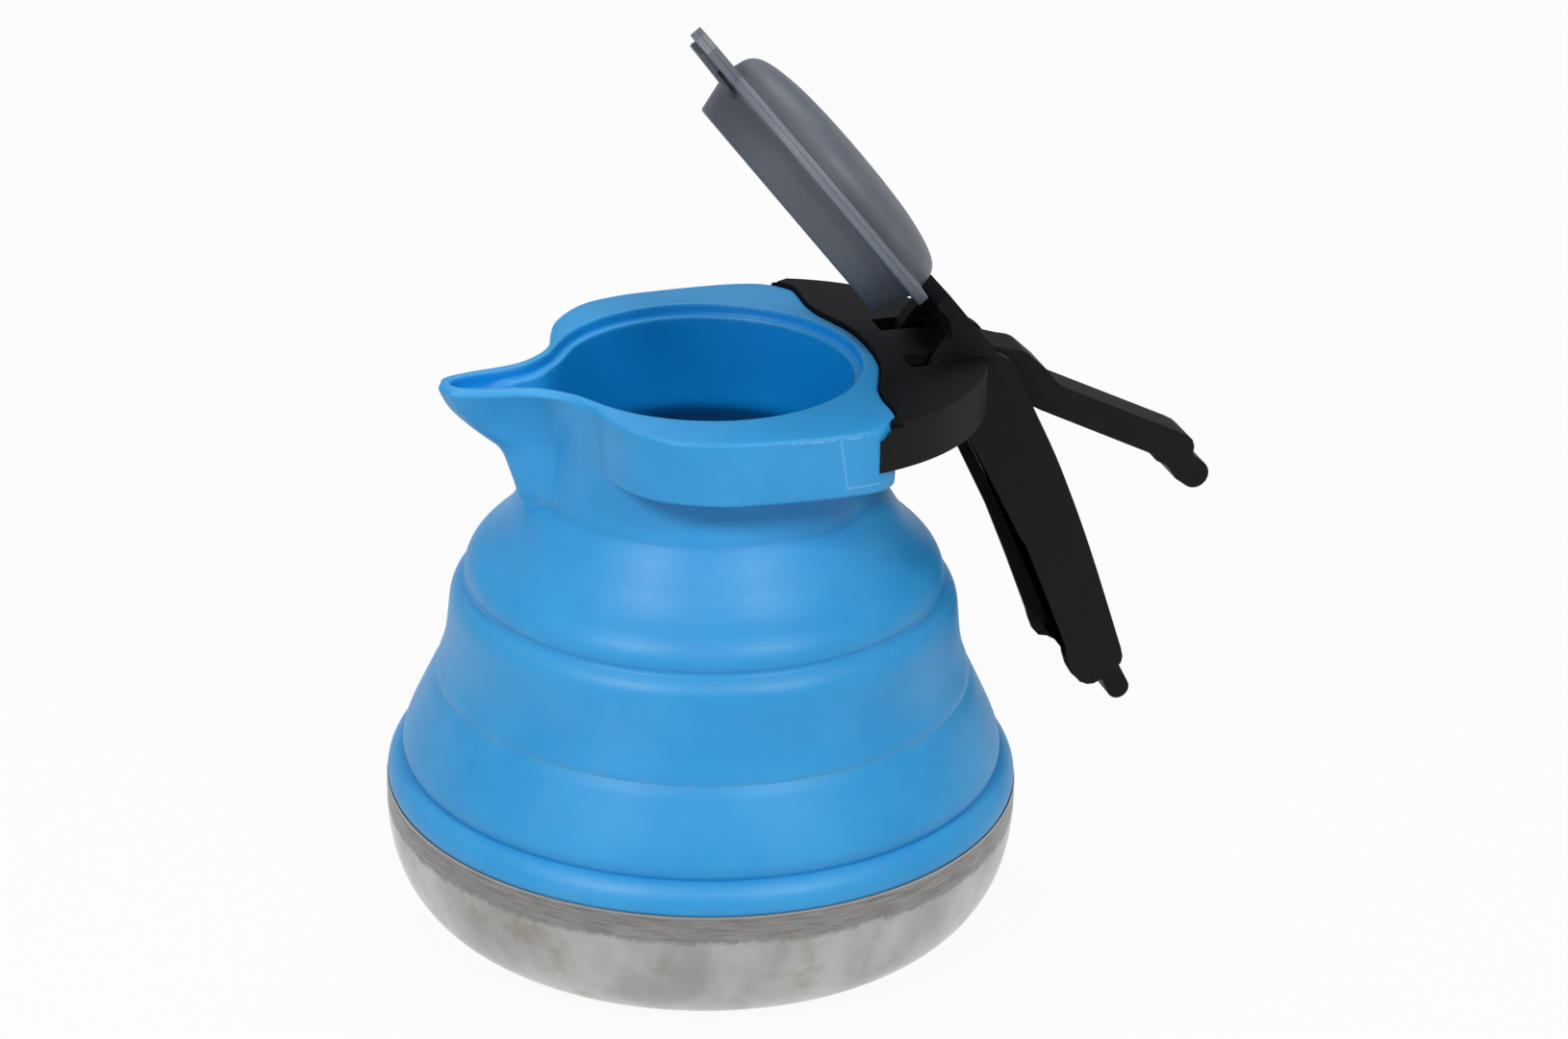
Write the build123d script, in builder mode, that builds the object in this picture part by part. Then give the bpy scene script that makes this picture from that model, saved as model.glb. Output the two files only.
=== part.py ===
# Collapsible kettle: steel bowl, folding silicone body, hinged lid and folding two-arm handle.
# Millimetres. Origin at the centre of the bowl's underside, +Z up, +X towards the handle.
import os
from math import cos, radians, sin

from build123d import *

os.makedirs("parts", exist_ok=True)

# Driving sizes: steel bowl
bowl_radius = 80.3
bowl_height = 36.0
bowl_wall = 0.8
bowl_foot_share = 0.6912
bowl_straight = 4.2
bowl_fullness_share = 0.65

# Driving sizes: silicone body
wall = 2.4
foot_top_z = 43.3
foot_step = 3.7
foot_bead = 1.6
fold_step = 1.2
lower_taper = 6.5
lower_top_z = 63.6
upper_top_z = 88.4
notch_step = 2.0
upper_taper = 4.0
upper_waist_share = 0.4
shoulder_step = 2.8
shoulder_round_share = 0.813
shoulder_round_z = 98.0
shoulder_waist_share = 0.289
shoulder_waist_z = 110.0
neck_foot_radius = 43.5
neck_foot_z = 117.3
neck_top_radius = 39.6
overlap = 3.0
fold_gap = 0.4

# Driving sizes: rim, mouth and spout
rim_top_z = 147.5
rim_depth = 15.0
rim_half_width = 52.0
rim_front_x = 5.0
mouth_radius = 38.0
ledge_depth = 3.0
neck_bore_radius = 36.2
spout_reach = 67.8
spout_half_width = 7.6
spout_tip_radius = 4.6
spout_wall = 2.0

# Driving sizes: collar
collar_rear_x = 18.0
collar_height = 12.0
collar_plate = 3.0
collar_skirt = 2.4
collar_front_x = 33.6
collar_inner_radius = 42.1
seat_gap = 0.3
slot_front_x = 48.0
slot_rear_x = 59.8
slot_inner_y = 8.5
slot_outer_y = 16.5
notch_front_x = 61.5
base_plate = 2.4
screw_radius = 1.5
screw_head_radius = 2.8
screw_head_height = 1.8
screw_grip = 6.0
boss_radius = 3.4

# Driving sizes: lid, given as it lies when closed
lid_pivot_x = 58.0
lid_pivot_z = 140.0
lid_open = 51.2
lid_centre_x = 0.2
lid_radius = 39.8
lid_flange = 1.5
lid_joint = 0.2
lid_lift = 0.4
lid_wall = 2.0
dome_height = 8.8
dome_radius = 36.9
dome_corner = 6.5
dome_taper_angle = 26.0
plug_radius = 35.2
plug_depth = 11.2
tab_reach = 12.0
tab_width = 11.0
tab_step = 1.8
lid_pin_radius = 1.5

# Driving sizes: lid bracket
leg_thickness = 2.5
leg_outer_y = 16.0
leg_eye_radius = 3.4
leg_rise = 13.0
bracket_top = 3.8
bracket_rear_x = 59.0
tongue_front_x = 22.0
tongue_half_width = 9.0
tongue_thickness = 1.6
bracket_lid_gap = 0.2

# Driving sizes: handle
handle_pin_x = 68.6
handle_pin_z = 139.3
handle_pin_radius = 2.0
root_radius = 8.4
outer_slope = -67.0
outer_length = 100.0
outer_depth = 16.0
outer_half_width = 14.5
cheek = 3.2
pin_cover = 1.2
web = 1.8
outer_tab_width = 18.0
outer_tab_radius = 3.0
cross_pin_radius = 2.4
inner_slope = -27.0
inner_length = 73.0
inner_depth = 8.0
inner_half_width = 6.5
lug_thickness = 2.8
lug_radius = 5.4
edge_round = 0.7
knuckle_room_share = 1.75

# Shared clearances
side_gap = 0.35
running_gap = 0.05
overrun = 1.0

# Room in the collar for the outer arm
notch_half_width = outer_half_width + side_gap

# Radii of the bowl's disc and of the body's rings, each from the one below it
bowl_foot_radius = bowl_radius * bowl_foot_share
foot_neck_radius = bowl_radius - foot_step
lower_bottom_radius = foot_neck_radius - fold_step
lower_top_radius = lower_bottom_radius - lower_taper
upper_bottom_radius = lower_top_radius - notch_step
upper_top_radius = upper_bottom_radius - upper_taper
upper_waist_radius = upper_top_radius + upper_taper * upper_waist_share
shoulder_bottom_radius = upper_top_radius - shoulder_step
shoulder_spread = shoulder_bottom_radius - neck_foot_radius
shoulder_round_radius = neck_foot_radius + shoulder_spread * shoulder_round_share
shoulder_waist_radius = neck_foot_radius + shoulder_spread * shoulder_waist_share


def bowl_profile(inset):
    """Half section of the bowl's skin, moved inwards by inset."""
    outer_x = bowl_radius - inset
    low_z = inset
    start_z = bowl_height - bowl_straight
    rise = (start_z - low_z) * bowl_fullness_share
    run = (outer_x - bowl_foot_radius) * bowl_fullness_share
    Line((0, low_z), (bowl_foot_radius, low_z))
    Bezier(
        (bowl_foot_radius, low_z),
        (bowl_foot_radius + run, low_z),
        (outer_x, start_z - rise),
        (outer_x, start_z),
    )
    Line((outer_x, start_z), (outer_x, bowl_height + inset))


# Steel bowl
with BuildPart() as base_bowl:
    with BuildSketch(Plane.XZ):
        with BuildLine():
            bowl_profile(0)
            Polyline((bowl_radius, bowl_height), (0, bowl_height), (0, 0))
        make_face()
    revolve(axis=Axis.Z)
    with BuildSketch(Plane.XZ):
        with BuildLine():
            bowl_profile(bowl_wall)
            Polyline(
                (bowl_radius - bowl_wall, bowl_height + bowl_wall),
                (0, bowl_height + bowl_wall),
                (0, bowl_wall),
            )
        make_face()
    revolve(axis=Axis.Z, mode=Mode.SUBTRACT)

# Silicone foot: a flared lip over the bowl's edge, with a bead that hangs inside the bowl
bowl_inner_radius = bowl_radius - bowl_wall
bead_outer_radius = bowl_inner_radius
bead_inner_radius = foot_neck_radius - foot_bead
bead_bottom_z = bowl_height - bowl_straight
foot_ring_z = bowl_height
with BuildPart() as silicone_foot:
    with BuildSketch(Plane.XZ):
        with BuildLine():
            flare = Spline(
                (bowl_radius, foot_ring_z),
                (bowl_radius - foot_bead / 4, foot_ring_z + foot_bead),
                (foot_neck_radius + foot_bead, foot_top_z - foot_bead),
                (foot_neck_radius, foot_top_z),
            )
            Polyline(
                flare @ 1,
                (bead_inner_radius + seat_gap, foot_top_z),
                (bead_inner_radius + seat_gap, bead_bottom_z),
                (bead_outer_radius, bead_bottom_z),
                (bead_outer_radius, foot_ring_z),
                flare @ 0,
            )
        make_face()
    revolve(axis=Axis.Z)

# Clamp ring under the bead, which holds the foot in the bowl
clamp_height = bowl_straight
with BuildPart() as clamp_ring:
    with BuildSketch(Plane.XY.offset(bead_bottom_z - clamp_height)):
        Circle(bowl_inner_radius - seat_gap)
        Circle(bead_inner_radius + seat_gap, mode=Mode.SUBTRACT)
    extrude(amount=clamp_height)


def ring_band(outline, bottom_radius, bottom_z, top_radius, top_z):
    """One fold of the body: an outline on the outside, an inner wall one thickness away."""
    with BuildLine() as section:
        outer = Spline(*outline)
        Polyline(outer @ 1, (top_radius, top_z), (bottom_radius, bottom_z), outer @ 0)
    make_face(section.edges())


# Lower fold: it sinks into the bowl past the foot
lower_bottom_z = foot_top_z - overlap
with BuildPart() as silicone_fold_lower:
    with BuildSketch(Plane.XZ):
        ring_band(
            [
                (lower_bottom_radius - fold_gap, lower_bottom_z),
                (lower_bottom_radius - wall, (lower_bottom_z * 2 + lower_top_z) / 3),
                (lower_top_radius + wall / 2, (lower_bottom_z + lower_top_z * 3) / 4),
                (lower_top_radius, lower_top_z),
            ],
            lower_bottom_radius - fold_gap - wall,
            lower_bottom_z,
            upper_bottom_radius + fold_gap,
            lower_top_z,
        )
    revolve(axis=Axis.Z)

# Upper fold: it sinks past the lower fold
upper_bottom_z = lower_top_z - overlap
with BuildPart() as silicone_fold_upper:
    with BuildSketch(Plane.XZ):
        ring_band(
            [
                (upper_bottom_radius, upper_bottom_z),
                (upper_bottom_radius - fold_gap, lower_top_z),
                (upper_waist_radius, (upper_bottom_z + upper_top_z * 2) / 3),
                (upper_top_radius, upper_top_z),
            ],
            upper_bottom_radius - wall,
            upper_bottom_z,
            shoulder_bottom_radius + fold_gap,
            upper_top_z,
        )
    revolve(axis=Axis.Z)

# Shoulder, neck, rim and spout
shoulder_bottom_z = upper_top_z - overlap
rim_bottom_z = rim_top_z - rim_depth
rim_end_x = collar_front_x + collar_plate
ledge_z = rim_top_z - ledge_depth
rim_rear_radius = collar_inner_radius - seat_gap
collar_top_z = rim_top_z
collar_bottom_z = collar_top_z - collar_height

# The rim's front outline as shares of its half width, from the spout to the widest place
rim_side_shares = [(-0.52, 0.73), (-0.35, 0.88), (-0.12, 0.98)]
rim_front_shares = [(-0.94, 0.14), (-0.82, 0.22), (-0.71, 0.36), (-0.63, 0.55), *rim_side_shares]
rim_under_shares = [(-0.72, 0.10), (-0.71, 0.22), (-0.67, 0.38), (-0.62, 0.55), *rim_side_shares]


def rim_outline(shares):
    """Rim seen from above: a curve from the spout, a straight side and a square rear edge."""
    near = [(rim_half_width * x, -rim_half_width * y) for x, y in shares]
    near.append((rim_front_x, -rim_half_width))
    far = [(x, -y) for x, y in reversed(near)]
    with BuildLine() as outline:
        Spline(*near)
        Line((rim_front_x, -rim_half_width), (collar_rear_x, -rim_half_width))
        ThreePointArc(
            (collar_rear_x, -rim_half_width),
            (collar_rear_x + rim_half_width, 0),
            (collar_rear_x, rim_half_width),
        )
        Line((collar_rear_x, rim_half_width), (rim_front_x, rim_half_width))
        Spline(*far)
        Line(far[-1], near[0])
    make_face(outline.edges())


# Spout sections from the top down: depth below the rim, reach and tip radius as shares
spout_section_shares = [
    (0.0, 1.0, 1.0),
    (0.42, 0.962, 0.85),
    (0.82, 0.875, 0.75),
    (1.15, 0.79, 0.7),
    (1.55, 0.742, 0.65),
    (1.96, 0.712, 0.6),
    (2.6, 0.66, 0.5),
]
channel_section_shares = spout_section_shares[:4]


def spout_section(reach, half_width, tip_radius, back_x):
    """Wedge seen from above: a round tip and straight sides that open towards the neck."""
    with Locations((-(reach - tip_radius), 0)):
        Circle(tip_radius)
    with Locations((-back_x, 0)):
        Rectangle(spout_wall, 2 * half_width)
    make_hull()


spout_back_x = neck_bore_radius + spout_wall
with BuildPart() as silicone_shoulder:
    with BuildSketch(Plane.XZ):
        with BuildLine():
            dome_line = Spline(
                (shoulder_bottom_radius, shoulder_bottom_z),
                (shoulder_bottom_radius, upper_top_z),
                (shoulder_round_radius, shoulder_round_z),
                (shoulder_waist_radius, shoulder_waist_z),
                (neck_foot_radius, neck_foot_z),
            )
            Polyline(
                dome_line @ 1,
                (neck_top_radius, rim_bottom_z),
                (neck_top_radius, rim_top_z),
                (0, rim_top_z),
                (0, shoulder_bottom_z),
                dome_line @ 0,
            )
        make_face()
    revolve(axis=Axis.Z)
    # Rim block, tapering in to the spout at the front
    with BuildSketch(Plane.XY.offset(rim_bottom_z)):
        rim_outline(rim_under_shares)
    with BuildSketch(Plane.XY.offset(rim_top_z)):
        rim_outline(rim_front_shares)
    loft(ruled=True)
    # Spout
    for drop_share, reach_share, tip_share in spout_section_shares:
        with BuildSketch(Plane.XY.offset(rim_top_z - rim_depth * drop_share)):
            spout_section(
                spout_reach * reach_share,
                spout_half_width,
                spout_tip_radius * tip_share,
                spout_back_x,
            )
    loft(ruled=True)
    # Seat for the collar: the rear half keeps only a band round the mouth
    with BuildSketch(Plane.XY.offset(collar_bottom_z - seat_gap)):
        with Locations((collar_front_x, 0)):
            Rectangle(2 * rim_half_width, 3 * rim_half_width, align=(Align.MIN, Align.CENTER))
        Circle(rim_rear_radius, mode=Mode.SUBTRACT)
    extrude(amount=collar_height * 2, mode=Mode.SUBTRACT)
    with BuildSketch(Plane.XY.offset(rim_bottom_z - overrun)):
        with Locations((rim_end_x, 0)):
            Rectangle(2 * rim_half_width, 3 * rim_half_width, align=(Align.MIN, Align.CENTER))
        Circle(rim_rear_radius, mode=Mode.SUBTRACT)
    extrude(amount=rim_depth * 2, mode=Mode.SUBTRACT)
    # Water space: shoulder, neck bore, mouth recess and spout channel
    with BuildSketch(Plane.XZ):
        with BuildLine():
            inside = Spline(
                (shoulder_bottom_radius - wall, shoulder_bottom_z - overrun),
                (shoulder_bottom_radius - wall, upper_top_z),
                (shoulder_round_radius - wall, shoulder_round_z - wall / 2),
                (shoulder_waist_radius - wall, shoulder_waist_z - wall / 2),
                (neck_bore_radius, neck_foot_z + wall),
            )
            Polyline(
                inside @ 1,
                (neck_bore_radius, ledge_z),
                (mouth_radius, ledge_z),
                (mouth_radius, rim_top_z + overrun),
                (0, rim_top_z + overrun),
                (0, shoulder_bottom_z - overrun),
                inside @ 0,
            )
        make_face()
    revolve(axis=Axis.Z, mode=Mode.SUBTRACT)
    for drop_share, reach_share, tip_share in channel_section_shares:
        with BuildSketch(Plane.XY.offset(rim_top_z + overrun - rim_depth * drop_share)):
            spout_section(
                spout_reach * reach_share - spout_wall,
                spout_half_width - spout_wall,
                spout_tip_radius * tip_share - spout_wall / 2,
                neck_bore_radius,
            )
    loft(ruled=True, mode=Mode.SUBTRACT)


def collar_outline(inset, front_x):
    """Collar seen from above: the rear of the rim's outline, open round the neck."""
    with BuildSketch() as shape:
        with Locations((collar_rear_x, 0)):
            Circle(rim_half_width - inset)
        with Locations((front_x, 0)):
            Rectangle(
                2 * rim_half_width,
                2 * rim_half_width,
                align=(Align.MIN, Align.CENTER),
                mode=Mode.INTERSECT,
            )
        Circle(collar_inner_radius + inset, mode=Mode.SUBTRACT)
    return shape.sketch


# Collar cover: top plate with a skirt, slots for the lid's legs and a notch for the handle
with BuildPart() as collar_cover:
    with BuildSketch(Plane.XY.offset(collar_bottom_z)):
        add(collar_outline(0, collar_front_x + seat_gap))
    extrude(amount=collar_height)
    top_edges = collar_cover.faces().sort_by(Axis.Z)[-1].outer_wire().edges()
    fillet(top_edges, edge_round)
    with BuildSketch(Plane.XY.offset(collar_bottom_z)):
        add(collar_outline(collar_skirt, collar_front_x + seat_gap + collar_skirt))
    extrude(amount=collar_height - collar_plate, mode=Mode.SUBTRACT)
    with BuildSketch(Plane.XY.offset(collar_top_z)):
        for side in (-1, 1):
            with Locations(((slot_front_x + slot_rear_x) / 2, side * (slot_inner_y + slot_outer_y) / 2)):
                Rectangle(slot_rear_x - slot_front_x, slot_outer_y - slot_inner_y)
        with Locations((notch_front_x, 0)):
            Rectangle(rim_half_width, 2 * notch_half_width, align=(Align.MIN, Align.CENTER))
    extrude(amount=-collar_height, mode=Mode.SUBTRACT)

# Collar base: plate inside the skirt with bosses, hinge lugs and a tongue towards the neck
base_inset = collar_skirt + seat_gap
base_front_x = rim_end_x + seat_gap
base_plate_z = collar_bottom_z + seat_gap
cover_under_z = collar_top_z - collar_plate
screw_spread_shares = [(1.6, 3.0), (3.3, 1.0)]
screw_places = [
    (base_front_x + boss_radius * along, side * (rim_half_width / 2 + boss_radius * across))
    for along, across in screw_spread_shares
    for side in (-1, 1)
]


def pin_sketch(plane_y, centre_x, centre_z):
    """Plane across the hinge axes, looking along Y, with its origin on a pin."""
    return Plane(origin=(centre_x, plane_y, centre_z), x_dir=(1, 0, 0), z_dir=(0, -1, 0))


lid_lug_inner_y = leg_outer_y + side_gap
base_notch_x = handle_pin_x - root_radius - seat_gap * 2
handle_lug_inner_y = inner_half_width + side_gap
lug_reach = handle_pin_x - base_notch_x + lug_radius
with BuildPart() as collar_base:
    with BuildSketch(Plane.XY.offset(base_plate_z)):
        add(collar_outline(base_inset, base_front_x))
        with Locations((base_notch_x, 0)):
            Rectangle(
                rim_half_width,
                2 * (notch_half_width + seat_gap),
                align=(Align.MIN, Align.CENTER),
                mode=Mode.SUBTRACT,
            )
        for side in (-1, 1):
            with Locations((lid_pivot_x, side * (lid_lug_inner_y + notch_half_width) / 2)):
                Rectangle(
                    2 * (leg_eye_radius + overrun),
                    lid_lug_inner_y - notch_half_width + side_gap,
                    mode=Mode.SUBTRACT,
                )
    extrude(amount=base_plate)
    with BuildSketch(Plane.XY.offset(base_plate_z)):
        with Locations(*screw_places):
            Circle(boss_radius)
    extrude(amount=cover_under_z - base_plate_z)
    # Lugs outside the lid's legs
    for side in (-1, 1):
        start_y = -(lid_lug_inner_y + lug_thickness) if side < 0 else lid_lug_inner_y
        with BuildSketch(pin_sketch(start_y + lug_thickness, lid_pivot_x, lid_pivot_z)):
            Circle(leg_eye_radius)
            with Locations((0, -(lid_pivot_z - base_plate_z) / 2)):
                Rectangle(2 * leg_eye_radius, lid_pivot_z - base_plate_z)
        extrude(amount=lug_thickness)
    # Lugs beside the inner arm, reaching back to the handle pin
    for side in (-1, 1):
        start_y = -(handle_lug_inner_y + lug_thickness) if side < 0 else handle_lug_inner_y
        with BuildSketch(pin_sketch(start_y + lug_thickness, handle_pin_x, handle_pin_z)):
            Circle(lug_radius)
            with Locations((-lug_reach / 2, base_plate_z + base_plate - handle_pin_z)):
                Rectangle(lug_reach, 2 * base_plate)
        extrude(amount=lug_thickness)
    # Holes: both hinge pins and the screws
    with BuildSketch(pin_sketch(rim_half_width, lid_pivot_x, lid_pivot_z)):
        Circle(lid_pin_radius)
    extrude(amount=2 * rim_half_width, mode=Mode.SUBTRACT)
    with BuildSketch(pin_sketch(rim_half_width, handle_pin_x, handle_pin_z)):
        Circle(handle_pin_radius)
    extrude(amount=2 * rim_half_width, mode=Mode.SUBTRACT)
    with BuildSketch(Plane.XY.offset(base_plate_z - overrun)):
        with Locations(*screw_places):
            Circle(screw_radius)
    extrude(amount=collar_height, mode=Mode.SUBTRACT)

# Screws up through the base's bosses
with BuildPart() as collar_screws:
    with BuildSketch(Plane.XY.offset(base_plate_z - screw_head_height)):
        with Locations(*screw_places):
            Circle(screw_head_radius)
    extrude(amount=screw_head_height)
    with BuildSketch(Plane.XY.offset(base_plate_z)):
        with Locations(*screw_places):
            Circle(screw_radius)
    extrude(amount=screw_grip)

# Lid hinge pin
lid_pin_half = lid_lug_inner_y + lug_thickness
with BuildPart() as lid_hinge_pin:
    with BuildSketch(pin_sketch(lid_pin_half, lid_pivot_x, lid_pivot_z)):
        Circle(lid_pin_radius)
    extrude(amount=2 * lid_pin_half)

# Lid, modelled closed and then turned about its pin to the open pose
lid_under_z = rim_top_z + lid_lift
lid_split_z = lid_under_z + lid_flange + lid_joint
lid_top_z = lid_split_z + lid_flange
lid_axis = Axis((lid_pivot_x, 0, lid_pivot_z), (0, 1, 0))


def lid_plane(height):
    """Level plane with its origin on the lid's own axis."""
    return Plane(origin=(lid_centre_x, 0, height))


def tab_outline(reach, width):
    """Front lift tab from the middle of the lid's front edge."""
    with Locations((-lid_radius - reach + width / 2, 0)):
        Circle(width / 2)
    with Locations((-lid_radius - reach + width / 2, 0)):
        Rectangle(reach, width, align=(Align.MIN, Align.CENTER))


tongue_z = lid_top_z + bracket_lid_gap
tongue_top_z = tongue_z + tongue_thickness
with BuildPart() as lid_top:
    with BuildSketch(lid_plane(lid_split_z)):
        Circle(lid_radius)
        tab_outline(tab_reach, tab_width)
    extrude(amount=lid_flange)
    with BuildSketch(lid_plane(lid_top_z - overrun / 2)):
        Circle(dome_radius)
    extrude(amount=dome_height + overrun / 2)
    dome_edge = lid_top.edges().group_by(Axis.Z)[-1]
    fillet(dome_edge, dome_corner)
    with BuildSketch(lid_plane(lid_split_z)):
        Circle(dome_radius - lid_wall)
    extrude(amount=dome_height - overrun, taper=dome_taper_angle, mode=Mode.SUBTRACT)
    with BuildSketch(Plane.XY.offset(lid_top_z)):
        with Locations((tongue_front_x - bracket_lid_gap, 0)):
            Rectangle(
                dome_radius,
                2 * (tongue_half_width + bracket_lid_gap),
                align=(Align.MIN, Align.CENTER),
            )
    extrude(amount=tongue_thickness + 2 * bracket_lid_gap, mode=Mode.SUBTRACT)
lid_top.part = lid_top.part.rotate(lid_axis, lid_open)

lid_screw_x = tongue_front_x + boss_radius - lid_centre_x
lid_screw_places = [(lid_screw_x, side * tongue_half_width / 2) for side in (-1, 1)]
with BuildPart() as lid_plug:
    with BuildSketch(lid_plane(lid_under_z)):
        Circle(lid_radius)
        tab_outline(tab_reach - tab_step, tab_width)
    extrude(amount=lid_flange)
    with BuildSketch(lid_plane(lid_under_z + lid_flange)):
        Circle(plug_radius)
    extrude(amount=-(plug_depth + lid_flange))
    with BuildSketch(lid_plane(lid_under_z)):
        Circle(plug_radius - lid_wall)
    extrude(amount=-(plug_depth + overrun), mode=Mode.SUBTRACT)
    with BuildSketch(lid_plane(lid_under_z)):
        with Locations((-lid_radius - tab_reach / 2, 0)):
            Rectangle(tab_step, tab_width / 2)
    extrude(amount=-tab_step)
    with BuildSketch(lid_plane(lid_under_z)):
        with Locations(*lid_screw_places):
            Circle(boss_radius)
    extrude(amount=lid_top_z - lid_under_z)
    with BuildSketch(lid_plane(lid_under_z - overrun)):
        with Locations(*lid_screw_places):
            Circle(screw_radius)
    extrude(amount=lid_top_z - lid_under_z + 2 * overrun, mode=Mode.SUBTRACT)
lid_plug.part = lid_plug.part.rotate(lid_axis, lid_open)

with BuildPart() as lid_screws:
    with BuildSketch(lid_plane(lid_under_z - screw_head_height)):
        with Locations(*lid_screw_places):
            Circle(screw_head_radius)
    extrude(amount=screw_head_height)
    with BuildSketch(lid_plane(lid_under_z)):
        with Locations(*lid_screw_places):
            Circle(screw_radius)
    extrude(amount=tongue_top_z - lid_under_z)
lid_screws.part = lid_screws.part.rotate(lid_axis, lid_open)

# Lid bracket: tongue into the lid, top plate, two side cheeks that bend down into legs
bracket_low_z = lid_top_z + bracket_lid_gap
bracket_top_z = lid_top_z + bracket_top
bracket_front_x = lid_centre_x + dome_radius + bracket_lid_gap
plate_rear_x = bracket_rear_x - bracket_top
leg_inner_y = leg_outer_y - leg_thickness

# Front edge of the bent leg when the lid is open, as shares of the leg's rise above the pin
leg_front_low_shares = [(-0.185, 0.26), (-0.085, 0.52), (0.046, 0.77)]
leg_front_shares = [*leg_front_low_shares, (0.09, 1.02), (-0.04, 1.36), (-0.3, 1.69)]


def closed_place(x, z):
    """Place about the lid's pin, when the lid is closed, of a point given on the open bracket."""
    turn = radians(-lid_open)
    return (x * cos(turn) + z * sin(turn), -x * sin(turn) + z * cos(turn))


def cheek_outline():
    """Side of the bracket about the pin: eye and bent leg below, straight top edge above."""
    low_z = bracket_low_z - lid_pivot_z
    top_z = bracket_top_z - lid_pivot_z
    front_x = bracket_front_x - lid_pivot_x
    leg_rear_x = slot_rear_x - side_gap - lid_pivot_x
    leg_rear_z = collar_top_z + 2 * side_gap - lid_pivot_z
    front_edge = [closed_place(leg_rise * x, leg_rise * z) for x, z in leg_front_shares]
    with BuildLine() as outline:
        Polyline(
            (front_x, low_z),
            (front_x, top_z),
            (bracket_rear_x - lid_pivot_x, top_z),
            closed_place(leg_rear_x, leg_rear_z),
            closed_place(leg_rear_x, 0),
            closed_place(-leg_eye_radius, 0),
            *front_edge,
            (front_x, low_z),
        )
    make_face(outline.edges())
    Circle(leg_eye_radius)


with BuildPart() as lid_bracket:
    for side in (-1, 1):
        start_y = -leg_inner_y if side < 0 else leg_outer_y
        with BuildSketch(pin_sketch(start_y, lid_pivot_x, lid_pivot_z)):
            cheek_outline()
        extrude(amount=leg_thickness)
    with BuildSketch(Plane.XY.offset(bracket_low_z)):
        with Locations((tongue_front_x, 0)):
            Rectangle(plate_rear_x - tongue_front_x, 2 * leg_outer_y, align=(Align.MIN, Align.CENTER))
        with Locations((lid_centre_x, 0)):
            Circle(dome_radius + bracket_lid_gap, mode=Mode.SUBTRACT)
    extrude(amount=bracket_top_z - bracket_low_z)
    with BuildSketch(Plane.XY.offset(tongue_z)):
        with Locations((tongue_front_x, 0)):
            Rectangle(
                lid_centre_x + lid_radius - tongue_front_x,
                2 * tongue_half_width,
                align=(Align.MIN, Align.CENTER),
            )
    extrude(amount=tongue_thickness)
    # Room for the knuckles of the arms when the lid is open
    open_pin = closed_place(handle_pin_x - lid_pivot_x, handle_pin_z - lid_pivot_z)
    with BuildSketch(pin_sketch(notch_half_width, lid_pivot_x + open_pin[0], lid_pivot_z + open_pin[1])):
        Circle(root_radius * knuckle_room_share)
    extrude(amount=2 * notch_half_width, mode=Mode.SUBTRACT)
    with BuildSketch(lid_plane(tongue_z)):
        with Locations(*lid_screw_places):
            Circle(screw_radius)
    extrude(amount=tongue_thickness, mode=Mode.SUBTRACT)
    with BuildSketch(pin_sketch(rim_half_width, lid_pivot_x, lid_pivot_z)):
        Circle(lid_pin_radius + running_gap)
    extrude(amount=2 * rim_half_width, mode=Mode.SUBTRACT)
lid_bracket.part = lid_bracket.part.rotate(lid_axis, lid_open)

# Handle. Arm outlines are shares of the arm's length and depth, along and across the arm.
outer_root_shares = [(0.0, 0.525), (0.11, 0.535), (0.29, 0.58)]
outer_rear_shares = [*outer_root_shares, (0.54, 0.54), (0.87, 0.394), (0.905, 0.25)]
outer_end_shares = [(0.905, -0.25), (0.88, -0.42), (0.84, -0.58), (0.79, -0.56)]
outer_front_shares = [*outer_end_shares, (0.45, -0.49), (0.12, -0.61)]
outer_tab_shares = [(0.86, 0.3), (0.86, -0.2), (0.93, -0.1), (0.955, 0.0), (0.955, 0.27), (0.93, 0.3)]
web_shares = [(0.2, -0.3), (0.46, -0.2), (0.9, -0.17)]
inner_root_shares = [(0.0, 1.05), (0.085, 1.26), (0.135, 1.22), (0.24, 0.96), (0.31, 0.69)]
inner_top_shares = [*inner_root_shares, (0.81, 0.8), (0.88, 0.73), (0.92, 0.6)]
inner_end_shares = [(0.94, -0.2), (0.9, -0.6), (0.83, -0.4), (0.8, -0.35), (0.745, -0.22)]
inner_low_shares = [*inner_end_shares, (0.28, -0.28), (0.2, -0.27)]
inner_tab_share = (0.935, -0.25)
inner_tab_radius_share = 0.52
end_bridge_shares = [(0.86, 0.3), (0.9, 0.22), (0.9, -0.22), (0.86, -0.36)]
outer_tab_centre_share = 0.13


def arm_plane(slope, start_y):
    """Plane beside an arm: x runs along the arm from the handle pin, y across it."""
    angle = radians(slope)
    return Plane(
        origin=(handle_pin_x, start_y, handle_pin_z),
        x_dir=(cos(angle), 0, sin(angle)),
        z_dir=(0, -1, 0),
    )


def sized(shares, length, depth):
    """Turn shares of an arm's length and depth into places."""
    return [(length * along, depth * across) for along, across in shares]


def outer_cheek():
    """Side of the outer arm, round at the handle pin."""
    rear = sized(outer_rear_shares, outer_length, outer_depth)
    front = sized(outer_front_shares, outer_length, outer_depth)
    with BuildLine() as outline:
        Polyline(*rear, *front, (0, -root_radius), rear[0])
    make_face(outline.edges())
    Circle(root_radius)


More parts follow.
